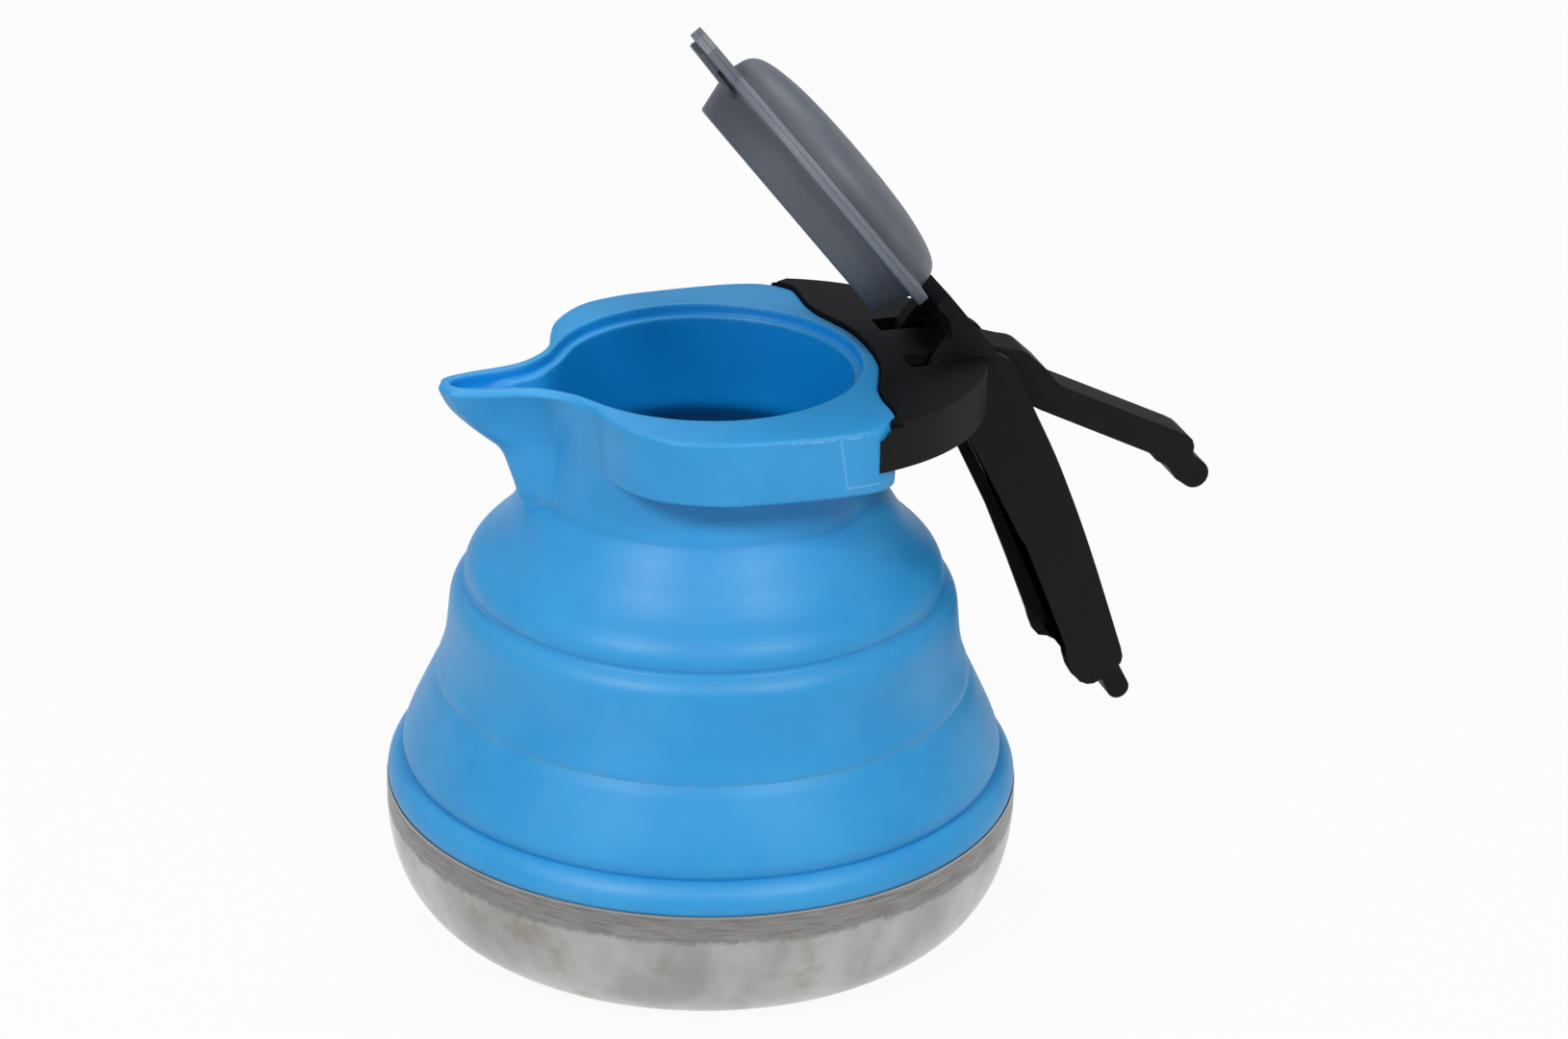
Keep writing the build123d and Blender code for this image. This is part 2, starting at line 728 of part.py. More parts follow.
outer_tab_x = outer_length - outer_tab_radius
web_line = sized(web_shares, outer_length, outer_depth)
handle_pin_half = outer_half_width - pin_cover
cross_pin_share = (0.755, -0.13)
cross_pin_place = sized([cross_pin_share], outer_length, outer_depth)
with BuildPart() as handle_outer_arm:
    for side in (-1, 1):
        start_y = -(outer_half_width - cheek) if side < 0 else outer_half_width
        with BuildSketch(arm_plane(outer_slope, start_y)):
            outer_cheek()
        extrude(amount=cheek)
    with BuildSketch(arm_plane(outer_slope, outer_half_width - cheek / 2)):
        with BuildLine():
            Polyline(*web_line, *[(x, y - web) for x, y in reversed(web_line)], web_line[0])
        make_face()
    extrude(amount=2 * outer_half_width - cheek)
    with BuildSketch(arm_plane(outer_slope, outer_tab_width / 2)):
        with BuildLine():
            Polyline(*sized(outer_tab_shares, outer_length, outer_depth), close=True)
        make_face()
        with Locations((outer_tab_x, outer_depth * outer_tab_centre_share)):
            Circle(outer_tab_radius)
    extrude(amount=outer_tab_width)
    with BuildSketch(arm_plane(outer_slope, outer_half_width - cheek / 2)):
        with BuildLine():
            Polyline(*sized(end_bridge_shares, outer_length, outer_depth), close=True)
        make_face()
    extrude(amount=2 * outer_half_width - cheek)
    with BuildSketch(arm_plane(outer_slope, handle_pin_half)):
        Circle(handle_pin_radius + running_gap)
    extrude(amount=2 * handle_pin_half, mode=Mode.SUBTRACT)
    with BuildSketch(arm_plane(outer_slope, outer_half_width - cheek / 2)):
        with Locations(*cross_pin_place):
            Circle(cross_pin_radius)
    extrude(amount=2 * outer_half_width - cheek, mode=Mode.SUBTRACT)

with BuildPart() as handle_cross_pin:
    with BuildSketch(arm_plane(outer_slope, outer_half_width - cheek / 2)):
        with Locations(*cross_pin_place):
            Circle(cross_pin_radius)
    extrude(amount=2 * outer_half_width - cheek)

with BuildPart() as handle_pin:
    with BuildSketch(arm_plane(outer_slope, handle_pin_half - side_gap)):
        Circle(handle_pin_radius)
    extrude(amount=2 * (handle_pin_half - side_gap))

with BuildPart() as handle_inner_arm:
    with BuildSketch(arm_plane(inner_slope, inner_half_width)):
        with BuildLine():
            Polyline(
                *sized(inner_top_shares, inner_length, inner_depth),
                *sized(inner_low_shares, inner_length, inner_depth),
                (0, -root_radius),
                close=True,
            )
        make_face()
        Circle(root_radius)
        with Locations(*sized([inner_tab_share], inner_length, inner_depth)):
            Circle(inner_depth * inner_tab_radius_share)
    extrude(amount=2 * inner_half_width)
    with BuildSketch(arm_plane(inner_slope, inner_half_width + overrun)):
        Circle(handle_pin_radius + running_gap)
    extrude(amount=2 * (inner_half_width + overrun), mode=Mode.SUBTRACT)

pieces = {
    "base_bowl": base_bowl,
    "clamp_ring": clamp_ring,
    "silicone_foot": silicone_foot,
    "silicone_fold_lower": silicone_fold_lower,
    "silicone_fold_upper": silicone_fold_upper,
    "silicone_shoulder": silicone_shoulder,
    "collar_cover": collar_cover,
    "collar_base": collar_base,
    "collar_screws": collar_screws,
    "lid_hinge_pin": lid_hinge_pin,
    "lid_top": lid_top,
    "lid_plug": lid_plug,
    "lid_bracket": lid_bracket,
    "lid_screws": lid_screws,
    "handle_outer_arm": handle_outer_arm,
    "handle_cross_pin": handle_cross_pin,
    "handle_pin": handle_pin,
    "handle_inner_arm": handle_inner_arm,
}
for name, piece in pieces.items():
    piece.part.label = name
    export_step(piece.part, f"parts/{name}.step")
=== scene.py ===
import math

import bmesh
import bpy
from mathutils import Matrix, Vector


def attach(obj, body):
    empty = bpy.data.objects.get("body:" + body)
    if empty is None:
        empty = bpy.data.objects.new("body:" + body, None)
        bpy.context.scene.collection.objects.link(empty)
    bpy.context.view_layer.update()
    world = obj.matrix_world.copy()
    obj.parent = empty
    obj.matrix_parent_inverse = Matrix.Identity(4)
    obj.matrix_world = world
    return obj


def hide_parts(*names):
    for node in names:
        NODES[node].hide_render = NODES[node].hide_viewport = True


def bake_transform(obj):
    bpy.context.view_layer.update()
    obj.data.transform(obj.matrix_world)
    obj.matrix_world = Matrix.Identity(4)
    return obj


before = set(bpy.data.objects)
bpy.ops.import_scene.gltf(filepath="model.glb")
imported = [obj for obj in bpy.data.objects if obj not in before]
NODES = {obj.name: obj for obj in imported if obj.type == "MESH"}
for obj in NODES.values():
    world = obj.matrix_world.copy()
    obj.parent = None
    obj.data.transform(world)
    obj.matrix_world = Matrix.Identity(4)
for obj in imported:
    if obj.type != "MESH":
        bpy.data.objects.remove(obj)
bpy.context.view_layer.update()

MM = 0.001

# Heights of the body's creases above the bowl's underside, and the skin's thickness, in millimetres
FOOT_TOP = 43.3
FOLD_MIDDLE = 64.5
SHOULDER_FOOT = 91.0
NECK_FOOT = 115.8
SKIN = 2.3

# Hinge pins, in X and Z, and how far the photographed lid is open
LID_PIN_X = 58.0
LID_PIN_Z = 140.0
LID_OPEN = math.radians(51.2)
HANDLE_PIN = (68.6, 139.3)


# Curves on paper


def on_curve(four, t):
    """The place a share t of the way from the second to the third of four places, on a smooth curve."""
    return tuple(
        q + 0.5 * ((r - p) * t + (2 * p - 5 * q + 4 * r - s) * t**2 + (3 * q - p - 3 * r + s) * t**3)
        for p, q, r, s in zip(*four)
    )


def flowing(places, steps):
    """A smooth run through the given places, which keeps its ends."""
    padded = [places[0], *places, places[-1]]
    run = []
    for four in zip(padded, padded[1:], padded[2:], padded[3:]):
        run += [on_curve(four, step / steps) for step in range(steps)]
    run.append(tuple(places[-1]))
    return run


def rounded(places, radius, steps):
    """A closed outline with each corner rounded."""
    count = len(places)
    run = []
    for number, corner in enumerate(places):
        here = Vector(corner)
        before = Vector(places[number - 1]) - here
        after = Vector(places[(number + 1) % count]) - here
        reach = min(radius, before.length * 0.45, after.length * 0.45)
        start = here + before.normalized() * reach
        end = here + after.normalized() * reach
        for step in range(steps + 1):
            t = step / steps
            place = start * (1 - t) ** 2 + here * 2 * t * (1 - t) + end * t**2
            run.append(tuple(place))
    return run


def arc(centre, radius, start, end, steps):
    """Places along an arc, with angles in degrees."""
    return [
        (
            centre[0] + radius * math.cos(math.radians(start + (end - start) * step / steps)),
            centre[1] + radius * math.sin(math.radians(start + (end - start) * step / steps)),
        )
        for step in range(steps + 1)
    ]


def from_table(table, value):
    """A value read between the rows of a table."""
    if value <= table[0][0]:
        return table[0][1]
    for (low, a), (high, b) in zip(table, table[1:]):
        if value <= high:
            t = (value - low) / (high - low)
            return a + (b - a) * t
    return table[-1][1]


# Modelling helpers


def let_go():
    """Leave edit mode and select nothing."""
    if bpy.context.object and bpy.context.object.mode != "OBJECT":
        bpy.ops.object.mode_set(mode="OBJECT")
    bpy.ops.object.select_all(action="DESELECT")


def take(piece):
    """Make one piece the selected and active one."""
    let_go()
    piece.select_set(True)
    bpy.context.view_layer.objects.active = piece


def pick(piece, wanted):
    """In edit mode, select the vertices that wanted names by number and place."""
    bpy.ops.mesh.select_mode(type="VERT")
    bpy.ops.mesh.select_all(action="DESELECT")
    mesh = bmesh.from_edit_mesh(piece.data)
    for vertex in mesh.verts:
        vertex.select = bool(wanted(vertex.index, vertex.co))
    mesh.select_flush(True)
    bmesh.update_edit_mesh(piece.data)


def settle(piece, name):
    """Put a finished piece's place into its mesh, at the origin and unturned."""
    take(piece)
    bpy.ops.object.transform_apply(location=True, rotation=True, scale=True)
    piece.name = name
    piece.data.name = name
    return piece


def outward(piece):
    """Merge doubles and turn every face outwards."""
    take(piece)
    bpy.ops.object.mode_set(mode="EDIT")
    bpy.ops.mesh.select_all(action="SELECT")
    bpy.ops.mesh.remove_doubles(threshold=0.000005)
    bpy.ops.mesh.normals_make_consistent(inside=False)
    bpy.ops.object.mode_set(mode="OBJECT")


def apply_all(piece):
    """Apply every modifier of a piece, in order."""
    take(piece)
    for modifier in list(piece.modifiers):
        bpy.ops.object.modifier_apply(modifier=modifier.name)


def smooth(piece, angle=35):
    take(piece)
    bpy.ops.object.shade_smooth_by_angle(angle=math.radians(angle))


def soften(piece, width, segments=3):
    """Round the sharp edges of a moulding and keep its flat faces flat."""
    take(piece)
    bevel = piece.modifiers.new("soft_edges", "BEVEL")
    bevel.width = width * MM
    bevel.segments = segments
    bevel.limit_method = "ANGLE"
    bevel.angle_limit = math.radians(32)
    bevel.use_clamp_overlap = True
    bevel.miter_outer = "MITER_ARC"
    apply_all(piece)
    smooth(piece, 60)
    weighted = piece.modifiers.new("even_faces", "WEIGHTED_NORMAL")
    weighted.keep_sharp = True
    weighted.weight = 80
    apply_all(piece)


def combine(piece, other, operation):
    """Add another piece to this one, or cut it out, and drop the other piece."""
    take(piece)
    boolean = piece.modifiers.new("combine", "BOOLEAN")
    boolean.object = other
    boolean.operation = operation
    boolean.solver = "EXACT"
    apply_all(piece)
    bpy.data.objects.remove(other)


def merge(first, *others):
    """Join other shells to the first piece."""
    let_go()
    for piece in (first, *others):
        piece.select_set(True)
    bpy.context.view_layer.objects.active = first
    bpy.ops.object.join()


def side_span(side, inner, outer):
    """The lower and the upper Y of a piece on one side, from its distances to the middle."""
    return sorted((side * inner, side * outer))


def pull(x, y, z):
    """In edit mode, extrude what is selected by a step in millimetres."""
    bpy.ops.mesh.extrude_region_move(TRANSFORM_OT_translate={"value": (x * MM, y * MM, z * MM)})


def turned(name, profile, sides, closed=False):
    """A turned piece: a circle pulled ring by ring along its profile. Ends at radius 0 are closed."""
    let_go()
    rings = [place for place in profile if place[0] > 0]
    radius, height = rings[0]
    bpy.ops.mesh.primitive_circle_add(vertices=sides, radius=radius * MM, location=(0, 0, height * MM))
    piece = bpy.context.object
    bpy.ops.object.mode_set(mode="EDIT")
    bpy.ops.mesh.select_all(action="SELECT")
    for next_radius, next_height in rings[1:]:
        pull(0, 0, next_height - height)
        share = next_radius / radius
        bpy.ops.transform.resize(value=(share, share, 1), center_override=(0, 0, next_height * MM))
        radius, height = next_radius, next_height
    if profile[-1][0] == 0:
        pull(0, 0, profile[-1][1] - height)
        bpy.ops.mesh.merge(type="CENTER")
    if profile[0][0] == 0:
        pick(piece, lambda number, place: number < sides)
        pull(0, 0, profile[0][1] - rings[0][1])
        bpy.ops.mesh.merge(type="CENTER")
    if closed:
        last = len(rings) * sides - sides
        pick(piece, lambda number, place: number < sides or number >= last)
        bpy.ops.mesh.bridge_edge_loops()
    bpy.ops.object.mode_set(mode="OBJECT")
    settle(piece, name)
    outward(piece)
    smooth(piece)
    return piece


def plate(name, outline, low, high, flat="XZ"):
    """A flat moulding: a round blank pulled to its outline and given its thickness across it."""
    let_go()
    bpy.ops.mesh.primitive_circle_add(vertices=len(outline), radius=MM, fill_type="NGON")
    piece = bpy.context.object
    for vertex, (across, along) in zip(piece.data.vertices, outline):
        place = (across, low, along) if flat == "XZ" else (across, along, low)
        vertex.co = Vector(place) * MM
    bpy.ops.object.mode_set(mode="EDIT")
    bpy.ops.mesh.select_all(action="SELECT")
    if flat == "XZ":
        pull(0, high - low, 0)
    else:
        pull(0, 0, high - low)
    bpy.ops.object.mode_set(mode="OBJECT")
    settle(piece, name)
    outward(piece)
    return piece


def rod(name, radius, low_y, high_y, centre, sides=64, bead=0.3):
    """A round pin along Y with softened ends, centred on a place in X and Z."""
    let_go()
    length = (high_y - low_y) * MM
    bpy.ops.mesh.primitive_cylinder_add(
        vertices=sides,
        radius=radius * MM,
        depth=length,
        location=(centre[0] * MM, (low_y + high_y) / 2 * MM, centre[1] * MM),
        rotation=(math.pi / 2, 0, 0),
    )
    piece = settle(bpy.context.object, name)
    if bead:
        soften(piece, bead, 2)
    return piece


def open_up(piece):
    """Turn a lid piece from where it lies closed to the open pose, about the lid's pin."""
    pin = Vector((LID_PIN_X, 0, LID_PIN_Z)) * MM
    turn = Matrix.Translation(pin) @ Matrix.Rotation(LID_OPEN, 4, "Y") @ Matrix.Translation(-pin)
    piece.matrix_world = turn @ piece.matrix_world
    settle(piece, piece.name)


# Materials


class Value:
    """A number that changes over a surface, with the usual sums."""

    tree = None

    def __init__(self, socket):
        self.socket = socket

    @classmethod
    def node(cls, kind, inputs=(), output=0, **settings):
        made = cls.tree.nodes.new(kind)
        for name, setting in settings.items():
            setattr(made, name, setting)
        pairs = inputs.items() if isinstance(inputs, dict) else enumerate(inputs)
        for key, given in pairs:
            if isinstance(given, Value):
                cls.tree.links.new(given.socket, made.inputs[key])
            elif given is not None:
                made.inputs[key].default_value = given
        return cls(made.outputs[output])

    def _sum(self, operation, *others):
        return Value.node("ShaderNodeMath", (self, *others), operation=operation)

    def __add__(self, other):
        return self._sum("ADD", other)

    __radd__ = __add__

    def __mul__(self, other):
        return self._sum("MULTIPLY", other)

    __rmul__ = __mul__

    def __sub__(self, other):
        return self._sum("SUBTRACT", other)

    def __rsub__(self, other):
        return Value.node("ShaderNodeMath", (other, self), operation="SUBTRACT")

    def __neg__(self):
        return self * -1

    def __pow__(self, other):
        return self._sum("POWER", other)

    def __abs__(self):
        return self._sum("ABSOLUTE")

    def between(self, low, high):
        """0 below low, 1 above high, smooth in between."""
        return Value.node(
            "ShaderNodeMapRange",
            {"Value": self, "From Min": low, "From Max": high},
            interpolation_type="SMOOTHSTEP",
        )

    def band(self, centre, width):
        """1 at the centre, fading to 0 a width away on both sides."""
        return 1 - abs(self - centre).between(0.0, width)

    def limited(self):
        return Value.node("ShaderNodeMath", (self, 0.0), operation="ADD", use_clamp=True)


def mix(share, first, second):
    """A colour between two colours."""
    ends = [(*shade, 1.0) if isinstance(shade, tuple) else shade for shade in (first, second)]
    return Value.node(
        "ShaderNodeMix", {0: share, 6: ends[0], 7: ends[1]}, output=2, data_type="RGBA"
    )


def coordinates():
    """Object coordinates in millimetres: X, Y, Z and the vector."""
    spot = Value.node("ShaderNodeTexCoord", output=3)
    spot = Value.node("ShaderNodeVectorMath", {0: spot, "Scale": 1 / MM}, operation="SCALE")
    parts = [Value.node("ShaderNodeSeparateXYZ", (spot,), output=number) for number in range(3)]
    return (*parts, spot)


def stretched(vector, x, y, z):
    return Value.node("ShaderNodeVectorMath", {0: vector, 1: (x, y, z)}, operation="MULTIPLY")


def joined(x, y, z):
    return Value.node("ShaderNodeCombineXYZ", (x, y, z))


def noise(vector, scale, detail=3.0, roughness=0.5, distortion=0.0):
    inputs = {"Vector": vector, "Scale": scale, "Detail": detail}
    inputs.update({"Roughness": roughness, "Distortion": distortion})
    return Value.node("ShaderNodeTexNoise", inputs)


def bump(height, strength, distance):
    return Value.node("ShaderNodeBump", {"Height": height, "Strength": strength, "Distance": distance * MM})


def srgb(red, green, blue):
    """A colour as seen on a screen, 0 to 255, turned to light."""
    return tuple(
        (v / 255 / 12.92) if v <= 10 else ((v / 255 + 0.055) / 1.055) ** 2.4 for v in (red, green, blue)
    )


def new_material(name):
    """A material whose tree takes the next nodes, and its surface shader."""
    material = bpy.data.materials.new(name)
    material.use_nodes = True
    Value.tree = material.node_tree
    return material, next(n for n in Value.tree.nodes if n.type == "BSDF_PRINCIPLED")


def finish_of(name, build):
    """A material whose surface is described by build, which returns the sockets' values."""
    material, shader = new_material(name)
    for socket, given in build().items():
        if isinstance(given, Value):
            Value.tree.links.new(given.socket, shader.inputs[socket])
        elif isinstance(given, tuple):
            shader.inputs[socket].default_value = (*given, 1.0) if len(given) == 3 else given
        else:
            shader.inputs[socket].default_value = given
    return material


def silicone_surface():
    """Matt sky-blue silicone: dusty in the grooves, a little uneven all over, with painted shade in the
    creases and the bore, a painted glow in the bore and a painted glint on the rim's edge.
    """
    x, y, z, spot = coordinates()
    cloud = noise(spot, 0.03, 4.0, 0.6)
    dust = noise(spot, 0.35, 5.0, 0.7)
    speck = noise(spot, 1.3, 2.0, 0.5)
    grooves = z.band(FOLD_MIDDLE, 1.4) + z.band(SHOULDER_FOOT - 2.6, 1.6) * 0.7
    grooves = (grooves + z.band(FOOT_TOP - 1.5, 1.4) * 0.4).limited()
    dusty = (grooves * dust.between(0.35, 0.75)).limited()
    colour = mix(cloud.between(0.35, 0.7), srgb(40, 151, 214), srgb(52, 159, 220))
    # Painted shade: the creases above the foot, at the shoulder's foot and at the neck's foot are darkened
    # where shade falls
    crease_shade = z.band(FOOT_TOP + 1.3, 3.0) + z.band(SHOULDER_FOOT + 0.2, 2.4)
    crease_shade = (crease_shade + z.band(NECK_FOOT + 0.4, 2.2)).limited()
    colour = mix(crease_shade * 0.20, colour, srgb(28, 116, 184))
    colour = mix(dusty * 0.30, colour, srgb(120, 160, 165))
    film = noise(stretched(spot, 1.0, 1.0, 0.35), 0.09, 4.0, 0.65).between(0.5, 0.8)
    colour = mix(film * 0.10, colour, srgb(120, 150, 190))
    dark_speck = speck.between(0.74, 0.78)
    colour = mix(dark_speck * 0.25, colour, srgb(20, 70, 120))
    # Painted shade and painted glow: the bore, the recess round the mouth and the spout's channel turn a
    # deeper, more saturated blue, standing for shade and light through the thin silicone
    inside = Value.node("ShaderNodeAttribute", output=2, attribute_name="inside")
    colour = mix(inside * 0.95, colour, srgb(0, 140, 218))
    # Pale scuffs on the near side of the rim: two lines of a box and a scratch under the edge; beside the
    # spout, a painted highlight: a glint along the top edge
    near_side = (-y).between(44.0, 46.0) * (z - 132.3).between(0.0, 0.3)
    upright = (x - (146.0 - z) * 0.165).band(18.2, 0.3) * (145.6 - z).between(0.0, 0.3)
    foot_line = z.band(132.8, 0.3) * (x - 20.1).between(0.0, 0.4) * (28.8 - x).between(0.0, 0.4)
    scratch = (z - speck * 0.5).band(145.3, 0.3) * dust.between(0.42, 0.56)
    scratch = scratch * (x - 5.0).between(0.0, 3.0) * (30.0 - x).between(0.0, 3.0)
    # Painted highlight: a light streak on the rounded top edge beside the spout
    edge_glint = (x + 32.6 + (y + 32.5) * 0.33).band(0.0, 0.4) * y.band(-32.5, 5.0)
    edge_glint = edge_glint * (z - 146.2).between(0.0, 0.3)
    scuffs_and_glint = (near_side * (upright * 0.5 + foot_line * 0.6 + scratch * 0.8) + edge_glint * 0.9).limited()
    colour = mix(scuffs_and_glint, colour, srgb(150, 198, 238))
    return {
        "Base Color": colour,
        "Roughness": (0.40 + dust * 0.10 + film * 0.05),
        "Specular IOR Level": 0.5,
        # Painted glow: the bore gives off a faint blue light of its own
        "Emission Color": mix(inside, (0.0, 0.0, 0.0), (0.0, 0.016, 0.042)),
        "Emission Strength": 1.0,
        "Normal": bump(noise(spot, 2.2, 3.0, 0.6), 0.10, 0.12),
    }


def steel_surface():
    """Spun stainless steel: a brushed band under the rim with a ragged lower limit, smoother below, with a
    painted highlight on the lip.
    """
    x, y, z, spot = coordinates()
    radius = (x * x + y * y) ** 0.5
    turn = Value.node("ShaderNodeMath", (y, x), operation="ARCTAN2")
    ring = joined(turn * 6.0, radius * 2.2, z * 2.2)
    lines = noise(ring, 1.6, 5.0, 0.75)
    coarse = noise(joined(turn * 3.0, radius * 0.7, z * 0.7), 1.2, 3.0, 0.6)
    patches = Value.node(
        "ShaderNodeTexVoronoi",
        {"Vector": joined(turn * 14.0, 0.0, 0.0), "Scale": 1.0, "Randomness": 1.0},
        output="Color",
        feature="F1",
    )
    steps = Value.node("ShaderNodeSeparateColor", (patches,))
    ragged = noise(joined(turn * 30.0, z * 0.35, 0.0), 1.0, 4.0, 0.7)
    limit = 26.9 + steps * 0.9 + ragged * 3.2
    upper = (z - limit).between(-0.3, 0.5)
    edge = (z - limit).band(-0.2, 0.9)
    stain = noise(spot, 0.06, 5.0, 0.65).between(0.52, 0.72) * (1 - upper)
    clouds = noise(stretched(spot, 1.0, 1.0, 0.6), 0.05, 3.0, 0.55)
    lower_tone = mix(clouds.between(0.3, 0.68), (0.32, 0.314, 0.304), (0.46, 0.455, 0.445))
    streaks = noise(joined(turn * 9.0, radius * 0.2, z * 1.1), 1.0, 4.0, 0.6)
    brushed = (lines * 0.55 + streaks * 0.45).between(0.36, 0.64)
    upper_tone = mix(brushed, (0.19, 0.186, 0.18), (0.33, 0.325, 0.315))
    tone = mix(upper, lower_tone, upper_tone)
    tone = mix(stain * 0.45, tone, (0.25, 0.205, 0.14))
    tone = mix(edge * 0.35, tone, (0.15, 0.14, 0.12))
    # Painted highlight: a brighter base colour on the rolled lip stands for the glint along the bowl's rim
    lip = (z - 35.45).between(0.0, 0.2)
    tone = mix(lip, tone, (0.48, 0.48, 0.47))
    return {
        "Base Color": tone,
        "Metallic": 1.0,
        "Roughness": (0.25 + upper * 0.12 + stain * 0.12 + lines * upper * 0.10 - lip * 0.12),
        "Normal": bump(lines * (0.12 + upper * 0.8) + coarse * 0.25, 0.14, 0.05),
    }


def pin_surface():
    """Turned steel pins and screws."""
    *_, spot = coordinates()
    lines = noise(stretched(spot, 3.0, 0.4, 3.0), 1.5, 3.0)
    return {
        "Base Color": mix(lines, (0.46, 0.45, 0.43), (0.62, 0.61, 0.59)),
        "Metallic": 1.0,
        "Roughness": 0.26 + lines * 0.14,
        "Normal": bump(lines, 0.08, 0.03),
    }


def black_plastic_surface():
    """Black glass-filled plastic with a fine satin grain and faint drag lines."""
    *_, spot = coordinates()
    grain = noise(spot, 5.0, 4.0, 0.65)
    drag = noise(stretched(spot, 0.25, 2.4, 0.5), 1.2, 4.0, 0.7)
    wear = noise(spot, 0.12, 4.0, 0.6)
    colour = mix(wear.between(0.4, 0.75), srgb(14, 14, 15), srgb(19, 19, 20))
    return {
        "Base Color": colour,
        "Roughness": (0.47 + grain * 0.08 + wear * 0.10 + drag * 0.06),
        "Specular IOR Level": 0.17,
        "Normal": bump(grain + drag * 0.8, 0.14, 0.06),
    }


def grey_plastic_surface():
    """Slate-grey moulded plastic with soft flow marks, painted shade on the cup and the dome's foot and a
    painted lighter flange.
    """
    x, _, z, spot = coordinates()
    grain = noise(spot, 4.0, 3.0, 0.6)
    flow = noise(spot, 0.05, 4.0, 0.55, 0.6)
    colour = mix(flow.between(0.35, 0.7), srgb(93, 99, 107), srgb(103, 109, 116))
    # Height above the pin with the lid closed: painted shade darkens the cup and the foot of the dome, and
    # a painted highlight lightens the flange
    height = (x - LID_PIN_X) * math.sin(LID_OPEN) + (z - LID_PIN_Z) * math.cos(LID_OPEN)
    colour = mix((7.45 - height).between(0.0, 0.3), colour, srgb(77, 83, 91))
    # Painted shade on the foot of the dome, which faces away from the lamps
    foot = (height - 10.6).between(0.0, 0.4) * (14.5 - height).between(0.0, 3.0)
    colour = mix(foot * 0.8, colour, srgb(74, 78, 84))
    # Painted highlight: the flange is made lighter than the rest of the lid
    lit_flange = (height - 7.5).between(0.0, 0.2) * (10.6 - height).between(0.0, 0.2)
    colour = mix(lit_flange * 0.8, colour, srgb(113, 119, 127))
    return {
        "Base Color": colour,
        "Roughness": (0.42 + grain * 0.06 + flow * 0.10),
        "Specular IOR Level": 0.5,
        "Normal": bump(grain, 0.08, 0.05),
    }


SILICONE = finish_of("sky_blue_silicone", silicone_surface)
STEEL = finish_of("spun_steel", steel_surface)
PIN_STEEL = finish_of("pin_steel", pin_surface)
BLACK = finish_of("black_plastic", black_plastic_surface)
GREY = finish_of("grey_plastic", grey_plastic_surface)

FINISH = {
    "silicone": SILICONE,
    "steel": STEEL,
    "black_plastic": BLACK,
    "grey_plastic": GREY,
}


def dress(piece, material):
    """Give a piece one finish."""
    piece.data.materials.clear()
    piece.data.materials.append(material)


def place_in(piece, slot, body, *stands_for):
    """Finish a new piece, let it ride on its body when the body is named, else bake its place into its
    mesh, and stand for CAD nodes.
    """
    dress(piece, FINISH[slot])
    if isinstance(body, str):
        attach(piece, body)
    else:
        first, second, start, end = body
        start * MM
        end * MM
        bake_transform(piece)
    if stands_for:
        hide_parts(*stands_for)


# Steel bowl

BOWL_RADIUS = 80.3
BOWL_DISC = 55.5
BOWL_STRAIGHT = 31.8
BOWL_WALL = 0.8
BOWL_POWER = 2.34


def bowl_side(inset):
    """The bowl's rounded side from the disc up to the straight wall, moved in by inset."""
    wide = BOWL_RADIUS - BOWL_DISC - inset
    high = BOWL_STRAIGHT - inset
    side = []
    for step in range(29):
        turn = math.pi / 2 * step / 28
        across = wide * math.sin(turn) ** (2 / BOWL_POWER)
        up = high * (1 - math.cos(turn) ** (2 / BOWL_POWER))
        side.append((BOWL_DISC + across, inset + up))
    return side


outer_side = bowl_side(0)
inner_side = list(reversed(bowl_side(BOWL_WALL)))
bowl = turned(
    "spun_bowl",
    [(0, 0.55), (8, 0.55), (40, 0.5), (52.6, 0.45), (54.0, 0.2), (55.0, 0.0)]
    + outer_side[1:]
    + [(BOWL_RADIUS, 33.0), (BOWL_RADIUS, 35.55), (80.2, 35.85), (79.95, 36.0), (79.65, 35.85)]
    + [(79.5, 35.5), (79.5, 33.0)]
    + inner_side[:-1]
    + [(50, 1.2), (8, 1.35), (0, 1.35)],
    sides=224,
)
place_in(bowl, "steel", "base", "base_bowl")

# Silicone body

SKIN_SIDES = 192
FOOT_OUT = [(79.8, 36.03), (80.0, 37.0), (79.8, 38.6), (78.9, 40.6), (77.5, 42.2), (76.3, 43.0)]
FOOT_IN = [(74.9, FOOT_TOP), (75.0, 41.0), (75.3, 36.0), (75.5, 32.2), (76.2, 31.9), (79.0, 31.9)]
FOOT_IN += [(79.45, 32.4), (79.45, 36.05)]
foot = turned("foot_lip", flowing([*FOOT_OUT, (75.5, FOOT_TOP)], 5) + FOOT_IN, SKIN_SIDES, True)
place_in(foot, "silicone", "base", "silicone_foot")


def skin_band(name, outside, body, *stands_for):
    """One band of the body's skin: the outside run, and the inside one skin thickness in."""
    inside = [(radius - SKIN, height) for radius, height in reversed(outside)]
    band = turned(name, outside + inside, SKIN_SIDES, True)
    place_in(band, "silicone", body, *stands_for)


LOWER_OUT = [(75.5, FOOT_TOP), (75.8, 43.9), (76.0, 45.0), (75.8, 46.8), (74.6, 50.0), (72.8, 54.0)]
LOWER_OUT += [(70.9, 58.0), (69.1, 61.7), (68.2, 63.2), (67.7, 64.0), (67.4, FOLD_MIDDLE)]
lower_blend = ("base", "fold_lower", FOOT_TOP, 62.0)
skin_band("skin_lower_fold", flowing(LOWER_OUT, 5), lower_blend, "silicone_fold_lower")

